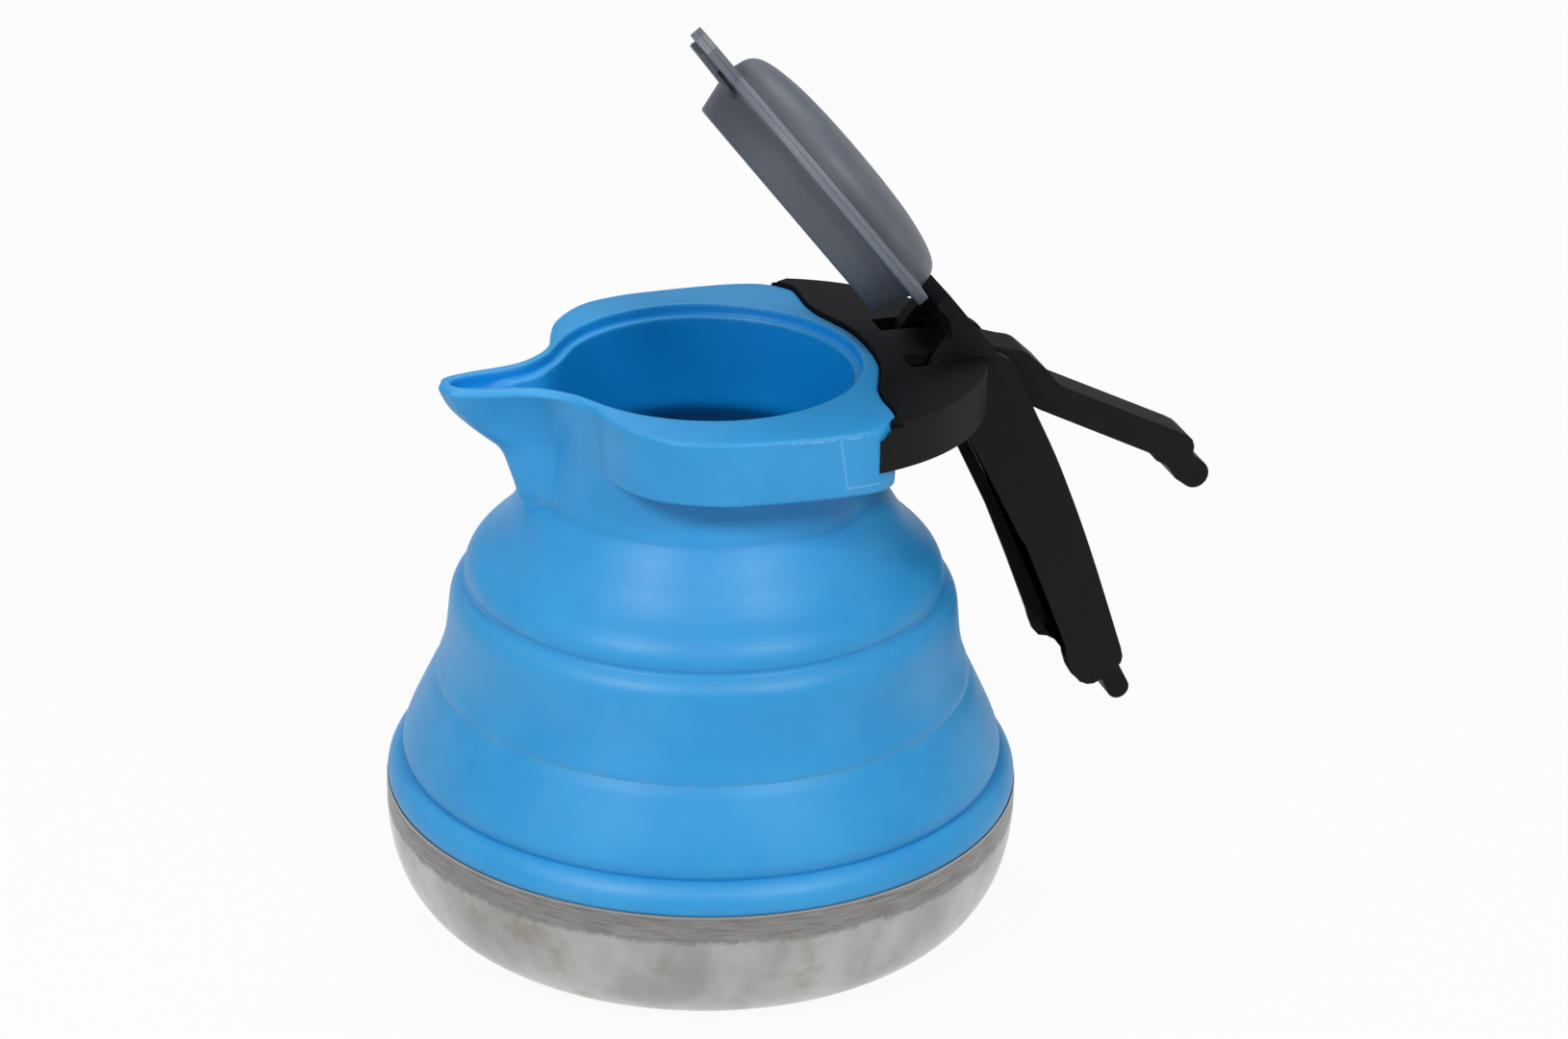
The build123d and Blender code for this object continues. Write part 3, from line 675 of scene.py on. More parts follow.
UPPER_OUT = [(67.4, FOLD_MIDDLE), (67.4, 65.2), (67.1, 66.5), (65.9, 70.0), (65.0, 74.0), (64.5, 78.0)]
UPPER_OUT += [(64.1, 82.0), (63.8, 84.6), (63.2, 86.6), (62.2, 88.2), (61.0, 89.4), (60.2, 90.2)]
UPPER_OUT += [(59.95, SHOULDER_FOOT)]
upper_blend = ("fold_lower", "fold_upper", 66.0, 88.0)
skin_band("skin_upper_fold", flowing(UPPER_OUT, 5), upper_blend, "silicone_fold_upper")

SHOULDER_OUT = [(59.95, SHOULDER_FOOT), (60.1, 91.9), (59.8, 93.8), (58.7, 96.0), (56.8, 98.2)]
SHOULDER_OUT += [(53.5, 101.3), (50.2, 105.2), (47.8, 109.0), (45.7, 112.2), (43.8, 114.6)]
SHOULDER_OUT += [(42.8, NECK_FOOT), (42.0, 116.8)]
skin_band("skin_shoulder", flowing(SHOULDER_OUT, 5), ("fold_upper", "top", SHOULDER_FOOT, 110.0))

# Neck, rim and spout: one moulding, ring by ring from under the neck's foot, over the rim, down the bore

RIM_LOW = 130.4
RIM_EDGE_TOP = 146.3
MOUTH_RADIUS = 38.2
BORE_RADIUS = 36.3

# Top outer edge seen from above, from the spout's tip round one side to the rear
SPOUT_EDGE = [(-67.8, 0.0), (-67.2, 2.9), (-65.2, 5.4), (-58.5, 7.2)]
SPOUT_EDGE += [(-51.6, 8.5), (-45.8, 10.5), (-41.2, 13.4)]
WAIST_EDGE = [(-37.5, 17.1), (-34.8, 21.7), (-33.2, 27.3), (-30.8, 34.2)]
WAIST_EDGE += [(-28.0, 39.0), (-24.2, 43.4), (-18.4, 47.8)]
SIDE_EDGE = [(-9.0, 50.6), (0.0, 51.5), (10.0, 51.9)]
SIDE_EDGE += [(19.8, 51.8), (27.0, 50.5), (30.4, 48.6), (33.2, 45.8)]
REAR_EDGE = [(34.8, 43.2), (35.1, 38.5), (35.0, 33.0), (35.9, 26.2)]
REAR_EDGE += [(38.2, 19.6), (40.6, 12.4), (41.6, 5.0), (41.7, 0.0)]
RIM_EDGE = SPOUT_EDGE + WAIST_EDGE + SIDE_EDGE + REAR_EDGE
NOSE_PLACE = 2
VALLEY_PLACE = 5
ROOT_PLACE = 6

# The same places of the waist at the rim's underside, where the wall starts from the neck
WAIST_FOOT = [(-36.4, 16.2), (-33.2, 22.2), (-32.6, 27.6), (-30.8, 34.2)]
WAIST_FOOT += [(-27.6, 39.4), (-23.2, 43.8), (-17.2, 47.4)]

# Where the sides' outline runs below the top edge, before it draws in beside the collar
SIDE_FOOT = [(-9.0, 50.6), (0.0, 51.5), (10.0, 51.9)]
SIDE_FOOT += [(20.0, 51.8), (27.4, 50.9), (31.0, 49.4), (33.6, 46.8)]

# Edge of the spout's channel and of the recess round the mouth, and the ledge's inner edge
CHANNEL_EDGE = [(-64.4, 0.0), (-63.9, 1.4), (-61.9, 3.1), (-56.6, 4.6), (-50.6, 5.4)]
CHANNEL_EDGE += [(-45.2, 6.9), (-40.6, 9.9), (-36.4, 14.0), (-33.3, 18.8)]
LEDGE_EDGE = [(-56.0, 0.0), (-55.6, 0.9), (-53.4, 2.0), (-50.6, 3.1), (-47.6, 3.8)]
LEDGE_EDGE += [(-43.4, 4.9), (-39.8, 7.3), (-36.6, 11.0), (-33.0, 15.2)]
CHANNEL_END_PLACES = 4

# Spout's keel: height, reach and radius of the nose
KEEL = [(109.5, 46.3, 3.4), (112.0, 46.9, 3.4), (116.0, 47.8, 3.3), (120.0, 48.9, 3.2), (124.2, 50.3, 3.2)]
KEEL += [(128.0, 51.6, 3.3), (130.4, 53.4, 3.4), (133.0, 56.6, 3.7), (135.4, 59.4, 3.9), (138.4, 62.6, 4.2)]
KEEL += [(141.2, 65.1, 4.4), (144.0, 66.7, 4.8), (146.3, 67.6, 5.2), (147.5, 67.8, 5.2)]
KEEL_REACH = [(height, reach) for height, reach, _ in KEEL]
KEEL_TIP = [(height, tip) for height, _, tip in KEEL]

# Neck: height and radius
NECK = [(109.5, 46.4), (112.0, 44.9), (114.0, 43.5), (NECK_FOOT, 42.8), (117.3, 42.3), (119.2, 41.7)]
NECK += [(121.0, 41.2), (124.0, 40.4), (128.0, 39.9), (131.0, 39.7), (147.5, 39.7)]

# Angle in degrees from the spout to the valley beside it, and how far the fillet there stands off the neck
VALLEY = [(109.5, 13.0), (114.0, 11.5), (118.0, 10.2), (124.0, 9.2), (128.0, 8.6), (147.5, 8.2)]
FILLET = [(109.5, -0.8), (114.0, -0.4), (116.0, -0.1), (119.0, 0.2), (124.0, 0.5), (147.5, 0.9)]


def between(first, second, share):
    """The place a share of the way from one place to another."""
    return tuple(a + (b - a) * share for a, b in zip(first, second))


def polar(radius, turn):
    """A place at an angle in degrees from the spout."""
    ray = math.radians(turn)
    return (-radius * math.cos(ray), radius * math.sin(ray))


def on_circle(radius, place):
    """The place on a circle in the same direction as another place."""
    reach = math.hypot(*place)
    return (place[0] * radius / reach, place[1] * radius / reach)


def towards(place, goal, step):
    """A place moved a step towards another."""
    gap = math.dist(place, goal)
    return between(place, goal, min(step / gap, 0.95))


def outside_run(height, spread=1.0):
    """Half outline of spout, neck and rim at a height. Spread 0 keeps to the neck, 1 reaches the rim."""
    reach = from_table(KEEL_REACH, height)
    tip = from_table(KEEL_TIP, height)
    neck = from_table(NECK, height)
    fillet = from_table(FILLET, height)
    share = min(max((height - RIM_LOW) / (RIM_EDGE_TOP - RIM_LOW), 0.0), 1.0)
    bend = share**1.6
    turn = from_table(VALLEY, height)
    valley = between(polar(neck + fillet, turn), RIM_EDGE[VALLEY_PLACE], bend)
    root = between(polar(neck + fillet * 0.3, turn + 2.4), RIM_EDGE[ROOT_PLACE], bend)
    nose = between((tip - reach, tip), RIM_EDGE[NOSE_PLACE], share**3)
    run = [(-reach, 0.0), (-reach + tip * 0.2, tip * 0.58), nose]
    for part in (1 / 3, 2 / 3):
        x, y = between(nose, valley, part)
        run.append((x, y - 0.35 + (1.4 - part * 1.6) * share**3))
    run += [valley, root]
    for edge, foot in zip(WAIST_EDGE, WAIST_FOOT):
        run.append(between(on_circle(neck, edge), between(foot, edge, share), spread))
    for edge, foot in zip(SIDE_EDGE + REAR_EDGE, SIDE_FOOT + REAR_EDGE):
        run.append(between(on_circle(neck, edge), between(foot, edge, share**6), spread))
    return run


EDGE_RUN = outside_run(RIM_EDGE_TOP)
CHANNEL_RUN = CHANNEL_EDGE + [on_circle(MOUTH_RADIUS, place) for place in RIM_EDGE[len(CHANNEL_EDGE):]]
LEDGE_RUN = LEDGE_EDGE + [on_circle(BORE_RADIUS, place) for place in RIM_EDGE[len(LEDGE_EDGE):]]


def spout_share(number):
    """1 on the spout's places, 0 on the rim's, and in between where they meet."""
    return 1 - min(max((number - len(SPOUT_EDGE)) / 4, 0.0), 1.0)


def raised(run, on_spout, on_rim, inside=0.0, channel_drop=None):
    """Places of a half outline, each with its height and how far inside it is.

    The floor of the spout's channel lies lower by the channel's drop.
    """
    places_round = []
    for number, (x, y) in enumerate(run):
        height = on_rim + (on_spout - on_rim) * spout_share(number)
        if channel_drop is not None and number < CHANNEL_END_PLACES:
            places_round.append((x, y, height - channel_drop, 1.0))
        else:
            places_round.append((x, y, height, inside))
    return places_round


def pulled_in(step, on_spout, on_rim):
    """The top outer edge moved inwards by a step."""
    return raised([towards(a, b, step) for a, b in zip(EDGE_RUN, CHANNEL_RUN)], on_spout, on_rim)


def moved(run, goal, step, on_spout, on_rim, inside, channel_drop=None):
    """An inner edge moved a step towards another outline."""
    return raised([towards(a, b, step) for a, b in zip(run, goal)], on_spout, on_rim, inside, channel_drop)


def narrowed(height, share, inside, channel_drop=None):
    """The bore at a height: the ledge's edge drawn in to a circle."""
    run = [between(place, on_circle(BORE_RADIUS - 0.1, place), share) for place in LEDGE_RUN]
    return raised(run, height, height, inside, channel_drop)


def moulding_rings():
    """Half rings from under the neck's foot, over the rim and down to the bore's foot."""
    rings = []
    for height in (109.5, 112.0, 114.0, NECK_FOOT, 117.3, 119.0, 121.0, 123.0, 125.5, 128.0, 129.6):
        rings.append(raised(outside_run(height, 0.0), height, height))
    under_rim = ((130.3, 131.2, 0.12), (130.7, 130.9, 0.5), (131.1, 130.5, 0.9), (131.5, 130.2, 0.985))
    for on_spout, on_rim, spread in under_rim:
        rings.append(raised(outside_run(on_spout, spread), on_spout, on_rim))
    rings.append(raised(outside_run(132.0), 132.0, 130.8))
    for height in (133.4, 135.2, 137.0, 139.0, 141.0, 143.0, 144.6, 145.4):
        rings.append(raised(outside_run(height), height, height))
    rounding = ((0.06, 146.1, 145.85), (0.28, 146.6, 146.2), (0.62, 146.95, 146.45), (1.1, 147.2, 146.6))
    for step, on_spout, on_rim in rounding:
        rings.append(pulled_in(step, on_spout, on_rim))
    half_way = [between(a, b, 0.55) for a, b in zip(EDGE_RUN, CHANNEL_RUN)]
    rings.append(raised(half_way, 147.4, 147.05))
    rings.append(moved(CHANNEL_RUN, EDGE_RUN, 0.75, 147.45, 147.4, 0.0))
    rings.append(moved(CHANNEL_RUN, EDGE_RUN, 0.3, 147.3, 147.35, 0.15))
    rings.append(moved(CHANNEL_RUN, EDGE_RUN, 0.0, 146.9, 147.0, 0.8))
    rings.append(moved(CHANNEL_RUN, LEDGE_RUN, 0.15, 146.0, 146.0, 1.0))
    rings.append(moved(CHANNEL_RUN, LEDGE_RUN, 0.25, 145.0, 145.0, 1.0))
    rings.append(moved(CHANNEL_RUN, LEDGE_RUN, 0.5, 144.6, 144.6, 0.6, 1.6))
    rings.append(moved(LEDGE_RUN, CHANNEL_RUN, 0.8, 144.55, 144.55, 0.0, 2.6))
    rings.append(moved(LEDGE_RUN, CHANNEL_RUN, 0.35, 144.4, 144.5, 0.0, 3.2))
    rings.append(moved(LEDGE_RUN, CHANNEL_RUN, 0.1, 144.2, 144.3, 0.1, 3.6))
    rings.append(narrowed(143.8, 0.03, 0.7, 3.7))
    channel_wall = ((143.2, 0.09, 3.6), (141.8, 0.22, 2.8), (139.5, 0.4, 1.6), (136.5, 0.58, 0.6))
    for height, share, drop in channel_wall:
        rings.append(narrowed(height, share, 1.0, drop))
    for height, share in ((132.5, 0.76), (128.5, 0.92), (124.5, 1.0), (121.0, 1.0)):
        rings.append(narrowed(height, share, 1.0))
    for height, radius in ((118.9, 37.4), (117.0, 39.6), (113.6, 42.6)):
        rings.append(raised([on_circle(radius, place) for place in RIM_EDGE], height, height, 1.0))
    return rings


def closed_curve(half, steps):
    """A smooth closed curve through a half ring and its mirror image."""
    mirrored = [(x, -y, *rest) for x, y, *rest in reversed(half[1:-1])]
    loop = half + mirrored
    count = len(loop)
    run = []
    for number in range(count):
        four = [loop[(number + shift) % count] for shift in (-1, 0, 1, 2)]
        run += [on_curve(four, step / steps) for step in range(steps)]
    return run


def neck_and_spout(name):
    """The neck, rim and spout: a circle pulled up ring by ring, each ring laid along its outline."""
    rings = [closed_curve(half, 5) for half in moulding_rings()]
    count = len(rings[0])
    let_go()
    bpy.ops.mesh.primitive_circle_add(vertices=count, radius=40 * MM, location=(0, 0, 0))
    piece = bpy.context.object
    bpy.ops.object.mode_set(mode="EDIT")
    bpy.ops.mesh.select_all(action="SELECT")
    for _ in rings[1:]:
        pull(0, 0, 1)
    pick(piece, lambda number, place: number < count or number >= count * (len(rings) - 1))
    bpy.ops.mesh.bridge_edge_loops()
    bpy.ops.object.mode_set(mode="OBJECT")
    # The 'inside' share marks the bore and the channel, where the silicone gets its painted shade and
    # painted glow
    depth = piece.data.attributes.new("inside", "FLOAT", "POINT")
    for number, places_round in enumerate(rings):
        for step, (x, y, z, inside) in enumerate(places_round):
            piece.data.vertices[number * count + step].co = Vector((x, y, z)) * MM
            depth.data[number * count + step].value = min(max(inside, 0.0), 1.0)
    settle(piece, name)
    outward(piece)
    levels = piece.modifiers.new("fine", "SUBSURF")
    levels.levels = 1
    levels.render_levels = 1
    apply_all(piece)
    smooth(piece, 50)
    return piece


neck = neck_and_spout("neck_rim_spout")
place_in(neck, "silicone", "top", "silicone_shoulder")

# Collar

COLLAR_CENTRE = 18.0
COLLAR_RADIUS = 52.0
COLLAR_LOW = 135.5
COLLAR_TOP = 147.5

front_edge = [(x + 0.3, y) for x, y in flowing(SIDE_EDGE[3:] + REAR_EDGE, 5)]
front_edge = [(x, y) for x, y in front_edge if x > 31.6]
rear_edge = arc((COLLAR_CENTRE, 0), COLLAR_RADIUS, -71.0, 71.0, 72)
collar_outline = rear_edge + front_edge + [(x, -y) for x, y in reversed(front_edge[:-1])]
collar = plate("collar_shell", collar_outline, COLLAR_LOW, COLLAR_TOP, "XY")
hollow_line = arc((COLLAR_CENTRE, 0), COLLAR_RADIUS - 2.4, -58.0, 58.0, 48)
hollow_line += [(44.4, 30.0), (44.4, -30.0)]
hollow = plate("collar_hollow", hollow_line, COLLAR_LOW - 1, COLLAR_TOP - 3, "XY")
combine(collar, hollow, "DIFFERENCE")


def open_collar(name, low_x, high_x, low_y, high_y):
    """Cut an opening with rounded corners right through the collar."""
    corners = [(low_x, low_y), (high_x, low_y), (high_x, high_y), (low_x, high_y)]
    opening = plate(name, rounded(corners, 0.8, 3), COLLAR_LOW - 1, COLLAR_TOP + 1, "XY")
    combine(collar, opening, "DIFFERENCE")


for side in (-1, 1):
    open_collar("slot_cut", 47.4, 59.8, *side_span(side, 8.5, 16.5))
open_collar("notch_cut", 61.5, 75.0, -14.7, 14.7)
soften(collar, 0.55, 3)

# The skirt's thin outer layer starts further forward, under the rim's top edge,
# and ends below the collar's top
over_lip = [(28.0, 143.6), (29.4, 143.9), (30.6, 144.8), (31.5, 146.2), (31.9, 148.0), (28.0, 148.0)]
lips = []
for side in (-1, 1):
    outer = [(x, side * y) for x, y in arc((COLLAR_CENTRE, 0), COLLAR_RADIUS + 0.05, 78.2, 18.5, 40)]
    inner = [(x, side * y) for x, y in arc((COLLAR_CENTRE, 0), COLLAR_RADIUS - 0.28, 18.5, 78.2, 40)]
    lip = plate("collar_side_lip", outer + inner, COLLAR_LOW, COLLAR_TOP - 1.2, "XY")
    trim = plate("trim_cut", over_lip, *side_span(side, 45.0, 55.0))
    combine(lip, trim, "DIFFERENCE")
    lips.append(lip)
merge(collar, *lips)
place_in(collar, "black_plastic", "top", "collar_cover")

# Lid

LID_X = -0.8
inside_cup = [(0, 147.6), (20, 147.6), (31.4, 147.6), (32.2, 147.3)]
inside_cup += [(32.4, 146.6), (30.6, 139.2), (30.7, 138.6)]
cup_lip = [(31.1, 138.2), (31.6, 138.0), (32.1, 138.1), (32.4, 138.5)]
cup_lip += [(32.6, 139.2), (34.7, 146.2), (34.95, 147.0)]
flange_edge = [(35.4, 147.42), (36.0, 147.5), (37.7, 147.5), (38.2, 147.6), (38.4, 147.95), (38.4, 149.12)]
flange_top = [(38.33, 149.19), (38.2, 149.2), (20, 149.2), (0, 149.2)]
plug = turned("lid_plug_cup", [*inside_cup, *cup_lip, *flange_edge, *flange_top], SKIN_SIDES)

dome_edge = [(0, 149.22), (20, 149.22), (38.2, 149.22), (38.33, 149.23)]
dome_edge += [(38.4, 149.3), (38.4, 150.2), (38.2, 150.5)]
dome_foot = [(37.7, 150.6), (35.6, 150.65), (35.1, 150.9)]
dome_crown = [(34.9, 151.9), (34.6, 153.6), (33.8, 155.4), (32.0, 157.0), (29.0, 158.2)]
dome_crown += [(25.0, 159.1), (19.5, 159.9), (12.0, 160.4), (5.0, 160.6)]
dome_profile = [*dome_edge, *dome_foot, *flowing(dome_crown, 4), (0, 160.65)]
dome = turned("lid_dome", dome_profile, SKIN_SIDES)

# Tab over the spout: two flat layers with a cut-off corner each side,
# and a rib beneath that drops into the channel
TAB_SIDE = [(-36.0, -5.9), (-48.4, -5.6), (-51.5, -2.7), (-51.9, -1.9)]
tab_outline = TAB_SIDE + [(x, -y) for x, y in reversed(TAB_SIDE)]
tab = plate("lid_tab", tab_outline, 149.23, 150.6, "XY")
soften(tab, 0.12, 2)
under_tab = plate("lid_under_tab", tab_outline, 147.5, 149.2, "XY")
soften(under_tab, 0.12, 2)
rib_line = [(-48.7, 147.7), (-48.9, 146.3), (-48.5, 145.8), (-34.4, 145.4), (-34.4, 147.7)]
rib = plate("lid_tab_rib", rib_line, -4.7, 4.7)
gap_line = [(-43.0, 146.6), (-33.0, 146.6), (-33.0, 149.0), (-43.0, 149.0)]
for side in (-1, 1):
    gap = plate("rib_cut", gap_line, *side_span(side, 3.0, 6.0))
    combine(rib, gap, "DIFFERENCE")
soften(rib, 0.15, 2)

for piece in (plug, dome):
    piece.location = (LID_X * MM, 0, 0)
    settle(piece, piece.name)

merge(dome, tab)
merge(plug, under_tab, rib)
for piece, node in ((dome, "lid_top"), (plug, "lid_plug")):
    open_up(piece)
    place_in(piece, "grey_plastic", "lid", node)

# Lid bracket

BRACKET_LOW = 151.35
BRACKET_TOP = 154.9
LEG_FRONT = [(-3.6, 2.5), (-4.8, 4.8), (-4.2, 6.8), (-2.7, 9.2), (-1.1, 11.5)]
LEG_FRONT += [(-0.1, 13.2), (-0.3, 15.6), (-1.3, 19.0), (-4.4, 22.6)]
leg_front = [(LID_PIN_X + x, LID_PIN_Z + z) for x, z in flowing(LEG_FRONT, 4)]


def from_closed(x, z):
    """Open place of a point given on the closed lid."""
    dx, dz = x - LID_PIN_X, z - LID_PIN_Z
    return (
        LID_PIN_X + dx * math.cos(LID_OPEN) + dz * math.sin(LID_OPEN),
        LID_PIN_Z - dx * math.sin(LID_OPEN) + dz * math.cos(LID_OPEN),
    )


cheek_line = [from_closed(37.3, BRACKET_LOW), from_closed(37.3, BRACKET_TOP)]
cheek_line += [from_closed(59.0, BRACKET_TOP), (59.4, 147.9), (59.4, LID_PIN_Z)]
cheek_line += arc((LID_PIN_X, LID_PIN_Z), 3.4, 0, -180, 14)[3:] + leg_front
cheeks = []
for side, name in ((-1, "near"), (1, "far")):
    cheeks.append(plate(f"bracket_cheek_{name}", cheek_line, *side_span(side, 13.5, 16.0)))
slab_line = [from_closed(38.2, BRACKET_LOW), from_closed(38.2, BRACKET_TOP)]
slab_line += [from_closed(55.6, BRACKET_TOP), from_closed(55.6, BRACKET_LOW)]
slab = plate("bracket_slab", slab_line, -13.6, 13.6)
knuckle_room = rod("knuckle_room", 14.7, -13.45, 13.45, HANDLE_PIN, 96, 0)
combine(slab, knuckle_room, "DIFFERENCE")
leg_line = leg_front + [(58.6, 158.6), (58.6, 143.0)]
for side, cheek in zip((-1, 1), cheeks):
    leg = plate("bracket_leg", leg_line, *side_span(side, 11.2, 14.0))
    combine(cheek, leg, "UNION")
bracket = cheeks[0]
combine(bracket, cheeks[1], "UNION")
combine(bracket, slab, "UNION")
bracket.name = "lid_bracket_moulding"
soften(bracket, 0.5, 3)
place_in(bracket, "black_plastic", "lid", "lid_bracket")

# Handle arms

OUTER_SLOPE = -67.0
OUTER_HALF = 13.9
FACE_DEPTH = 1.5
CHEEK = 2.9
WEB_HALF = OUTER_HALF - CHEEK / 2
INNER_SLOPE = -27.0
INNER_HALF = 6.5
ROOT = 8.4


def on_arm(slope, line):
    """Places in X and Z of a line given along an arm and across it, towards the rear."""
    cos, sin = math.cos(math.radians(slope)), math.sin(math.radians(slope))
    return [(HANDLE_PIN[0] + x * cos - y * sin, HANDLE_PIN[1] + x * sin + y * cos) for x, y in line]


OUTER_REAR = [(11.0, 8.55), (29.0, 9.3), (54.0, 8.65), (86.0, 6.4)]
OUTER_REAR = flowing([(4.0, ROOT), *OUTER_REAR], 6) + [(88.4, 6.0), (90.0, 5.0), (90.8, 3.4)]
NEAR_END = [(91.9, -2.4), (91.9, -3.8), (91.2, -5.4), (89.4, -7.0)]
FAR_END = [(91.0, -3.0), (90.2, -4.8), (88.0, -6.4)]
FACE_FRONT = [(84.0, -7.7), (80.5, -7.5), (79.0, -6.9), (70.0, -6.6)]
FACE_FRONT += [(45.4, -6.4), (43.3, -7.0), (12.0, -9.2)]
NEAR_LIP = [(87.0, -7.9), (84.0, -8.3), (80.5, -8.0), (78.0, -7.4)]
NEAR_LIP += [(60.0, -7.0), (44.0, -7.4), (12.0, -9.6)]
FAR_LIP = [(86.6, -8.4), (84.0, -9.2), (80.5, -9.1), (78.0, -8.8)]
FAR_LIP += [(60.0, -8.2), (44.0, -8.0), (12.0, -9.7)]
root_round = arc((0, 0), ROOT, -104, -262, 28)

# Each cheek has a flat outer face and, behind it, a layer whose lip stands further forward.
# The photographed arm seems a little twisted, so its near cheek ends lower
# and its far one stands further forward.
outer_arm = None
for side, end, lip_front in ((-1, NEAR_END, NEAR_LIP), (1, FAR_END, FAR_LIP)):
    face = OUTER_REAR + end + FACE_FRONT + root_round
    lip = [(x, y - 0.02) for x, y in OUTER_REAR + end + lip_front + root_round]
    for line, outside, inside in (
        (face, OUTER_HALF, OUTER_HALF - FACE_DEPTH - 0.1),
        (lip, OUTER_HALF - FACE_DEPTH, OUTER_HALF - CHEEK),
    ):
        layer = plate("outer_cheek", on_arm(OUTER_SLOPE, line), *side_span(side, inside, outside))
        if outer_arm is None:
            outer_arm = layer
        else:
            combine(outer_arm, layer, "UNION")

web_front = flowing([(20.0, -4.8), (46.0, -3.2), (88.0, -2.7)], 5)
web_line = web_front + [(x, y - 1.8) for x, y in reversed(web_front)]
web = plate("outer_web", on_arm(OUTER_SLOPE, web_line), -WEB_HALF, WEB_HALF)
combine(outer_arm, web, "UNION")
end_line = [(86.0, 4.8), (90.2, 3.5), (90.2, -2.8), (88.0, -5.0), (85.0, -6.2)]
end_bridge = plate("outer_end", on_arm(OUTER_SLOPE, end_line), -WEB_HALF, WEB_HALF)
combine(outer_arm, end_bridge, "UNION")
tab_line = [(86.0, 5.1), (86.0, -2.5), (93.4, -1.2), (95.6, -0.5)]
tab_line += arc((99.6, 2.6), 3.0, -90, 90, 12) + [(93.6, 5.1)]
end_tab = plate("outer_tab", on_arm(OUTER_SLOPE, tab_line), -8.9, 8.9)
combine(outer_arm, end_tab, "UNION")
outer_arm.name = "outer_arm_moulding"
soften(outer_arm, 0.35, 3)
place_in(outer_arm, "black_plastic", "outer_arm", "handle_outer_arm")

INNER_KNUCKLE = [(0.0, ROOT), (5.0, 9.3), (7.6, 9.95), (9.4, 9.95), (11.4, 9.4)]
INNER_KNUCKLE += [(16.6, 7.9), (19.8, 6.5), (22.6, 5.5)]
INNER_TOP = INNER_KNUCKLE + [(59.1, 6.3), (61.6, 6.2), (63.4, 5.7), (64.6, 4.5), (65.2, 3.0), (65.9, 2.0)]
INNER_END = arc((68.7, -2.3), 3.8, 98, -95, 18)[1:]
INNER_END += [(64.4, -5.4), (61.4, -3.6), (60.0, -3.1), (57.0, -3.0), (54.4, -1.8)]
INNER_LOW = [(20.4, -2.3), (16.0, -2.1), (11.6, -2.9), (7.5, -4.6)]
inner_round = arc((0, 0), ROOT, -40, -268, 36)
inner_line = on_arm(INNER_SLOPE, INNER_TOP + INNER_END + INNER_LOW + inner_round)
inner_arm = plate("inner_arm_moulding", inner_line, -INNER_HALF, INNER_HALF)
soften(inner_arm, 0.6, 3)
place_in(inner_arm, "black_plastic", "inner_arm", "handle_inner_arm")

cross_pin_place = on_arm(OUTER_SLOPE, [(75.5, -2.1)])[0]
cross_pin = rod("handle_cross_bar", 2.4, -11.6, 11.6, cross_pin_place)
place_in(cross_pin, "black_plastic", "outer_arm", "handle_cross_pin")

# CAD nodes that stay

KEPT = {
    "clamp_ring": BLACK,
    "collar_base": BLACK,
    "collar_screws": PIN_STEEL,
    "lid_hinge_pin": PIN_STEEL,
    "lid_screws": PIN_STEEL,
    "handle_pin": PIN_STEEL,
}
for node, material in KEPT.items():
    dress(NODES[node], material)

# Floor, backdrop and light


def floor_finish():
    """Pale matt floor, lifted towards white where it is seen or mirrored, so that only its shadow shows."""
    material, shader = new_material("floor_white")
    shader.inputs["Base Color"].default_value = (0.62, 0.62, 0.62, 1.0)
    shader.inputs["Roughness"].default_value = 0.9
    shader.inputs["Specular IOR Level"].default_value = 0.0
    glow = Value.node("ShaderNodeEmission", {"Strength": 1.0})
    seen = Value.node("ShaderNodeLightPath")
    mirrored = Value.node("ShaderNodeLightPath", output="Is Glossy Ray")
    share = (seen + mirrored).limited() * 0.94
    blend = Value.node("ShaderNodeMixShader", {0: share})
    Value.tree.links.new(shader.outputs[0], blend.socket.node.inputs[1])
    Value.tree.links.new(glow.socket, blend.socket.node.inputs[2])
    output = next(n for n in Value.tree.nodes if n.type == "OUTPUT_MATERIAL")
    Value.tree.links.new(blend.socket, output.inputs["Surface"])
    return material


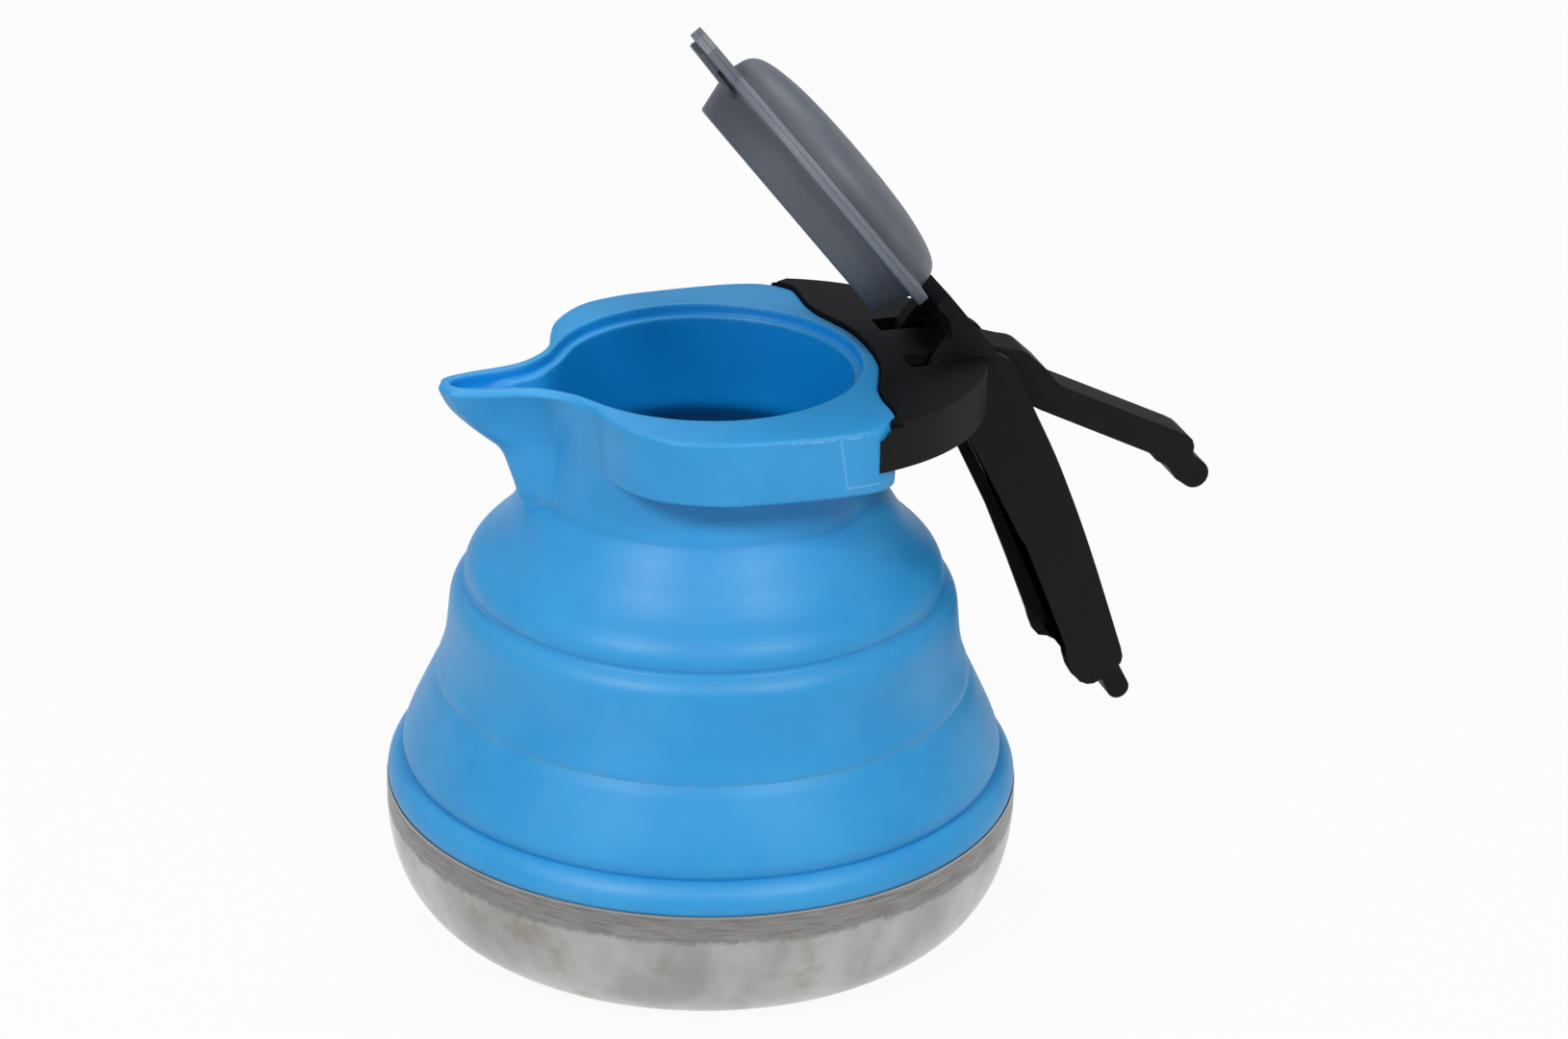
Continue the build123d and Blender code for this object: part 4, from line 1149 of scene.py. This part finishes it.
let_go()
bpy.ops.mesh.primitive_plane_add(size=6.0, location=(0, 0, 0))
floor = settle(bpy.context.object, "studio_floor")
floor.data.materials.append(floor_finish())

world = bpy.data.worlds.new("studio")
bpy.context.scene.world = world
world.use_nodes = True
Value.tree = world.node_tree
background = next(n for n in world.node_tree.nodes if n.type == "BACKGROUND")
background.inputs["Color"].default_value = (0.9, 0.93, 1.0, 1.0)
background.inputs["Strength"].default_value = 0.33

LAMP_AIM = Vector((0, 0, 0.1))


def lamp(name, place, size, power):
    """A white soft box aimed at the middle of the kettle."""
    data = bpy.data.lights.new(name, "AREA")
    data.shape = "RECTANGLE"
    data.size, data.size_y = size
    data.energy = power
    light = bpy.data.objects.new(name, data)
    bpy.context.scene.collection.objects.link(light)
    light.location = place
    light.rotation_euler = (LAMP_AIM - Vector(place)).to_track_quat("-Z", "Y").to_euler()


lamp("left_box", (-1.26, -0.99, 1.5), (0.42, 0.5), 18.5)
lamp("right_box", (0.55, -1.5, 1.5), (0.42, 0.5), 15.0)
lamp("top_box", (0.2, 0.5, 1.3), (1.0, 0.8), 5.6)

# Camera

FOCAL_PIXELS = 4427.9
IMAGE_WIDTH = 1630
SENSOR_WIDTH = 36.0
CAMERA_PLACE = Vector((-0.2678, -0.9339, 0.5396))
forward = Vector((0.2694, 0.8722, -0.4085)).normalized()
level_right = Vector((0.9555, -0.2951, 0.0)).normalized()
ROLL = 0.0238
level_up = level_right.cross(forward)
right = level_right * math.cos(ROLL) + level_up * math.sin(ROLL)
up = level_up * math.cos(ROLL) - level_right * math.sin(ROLL)
camera_data = bpy.data.cameras.new("camera")
camera_data.sensor_width = SENSOR_WIDTH
camera_data.lens = FOCAL_PIXELS / IMAGE_WIDTH * SENSOR_WIDTH
camera = bpy.data.objects.new("camera", camera_data)
bpy.context.scene.collection.objects.link(camera)
camera.matrix_world = Matrix.Translation(CAMERA_PLACE) @ Matrix((right, up, -forward)).transposed().to_4x4()
bpy.context.scene.camera = camera
bpy.context.scene.view_settings.view_transform = "Standard"
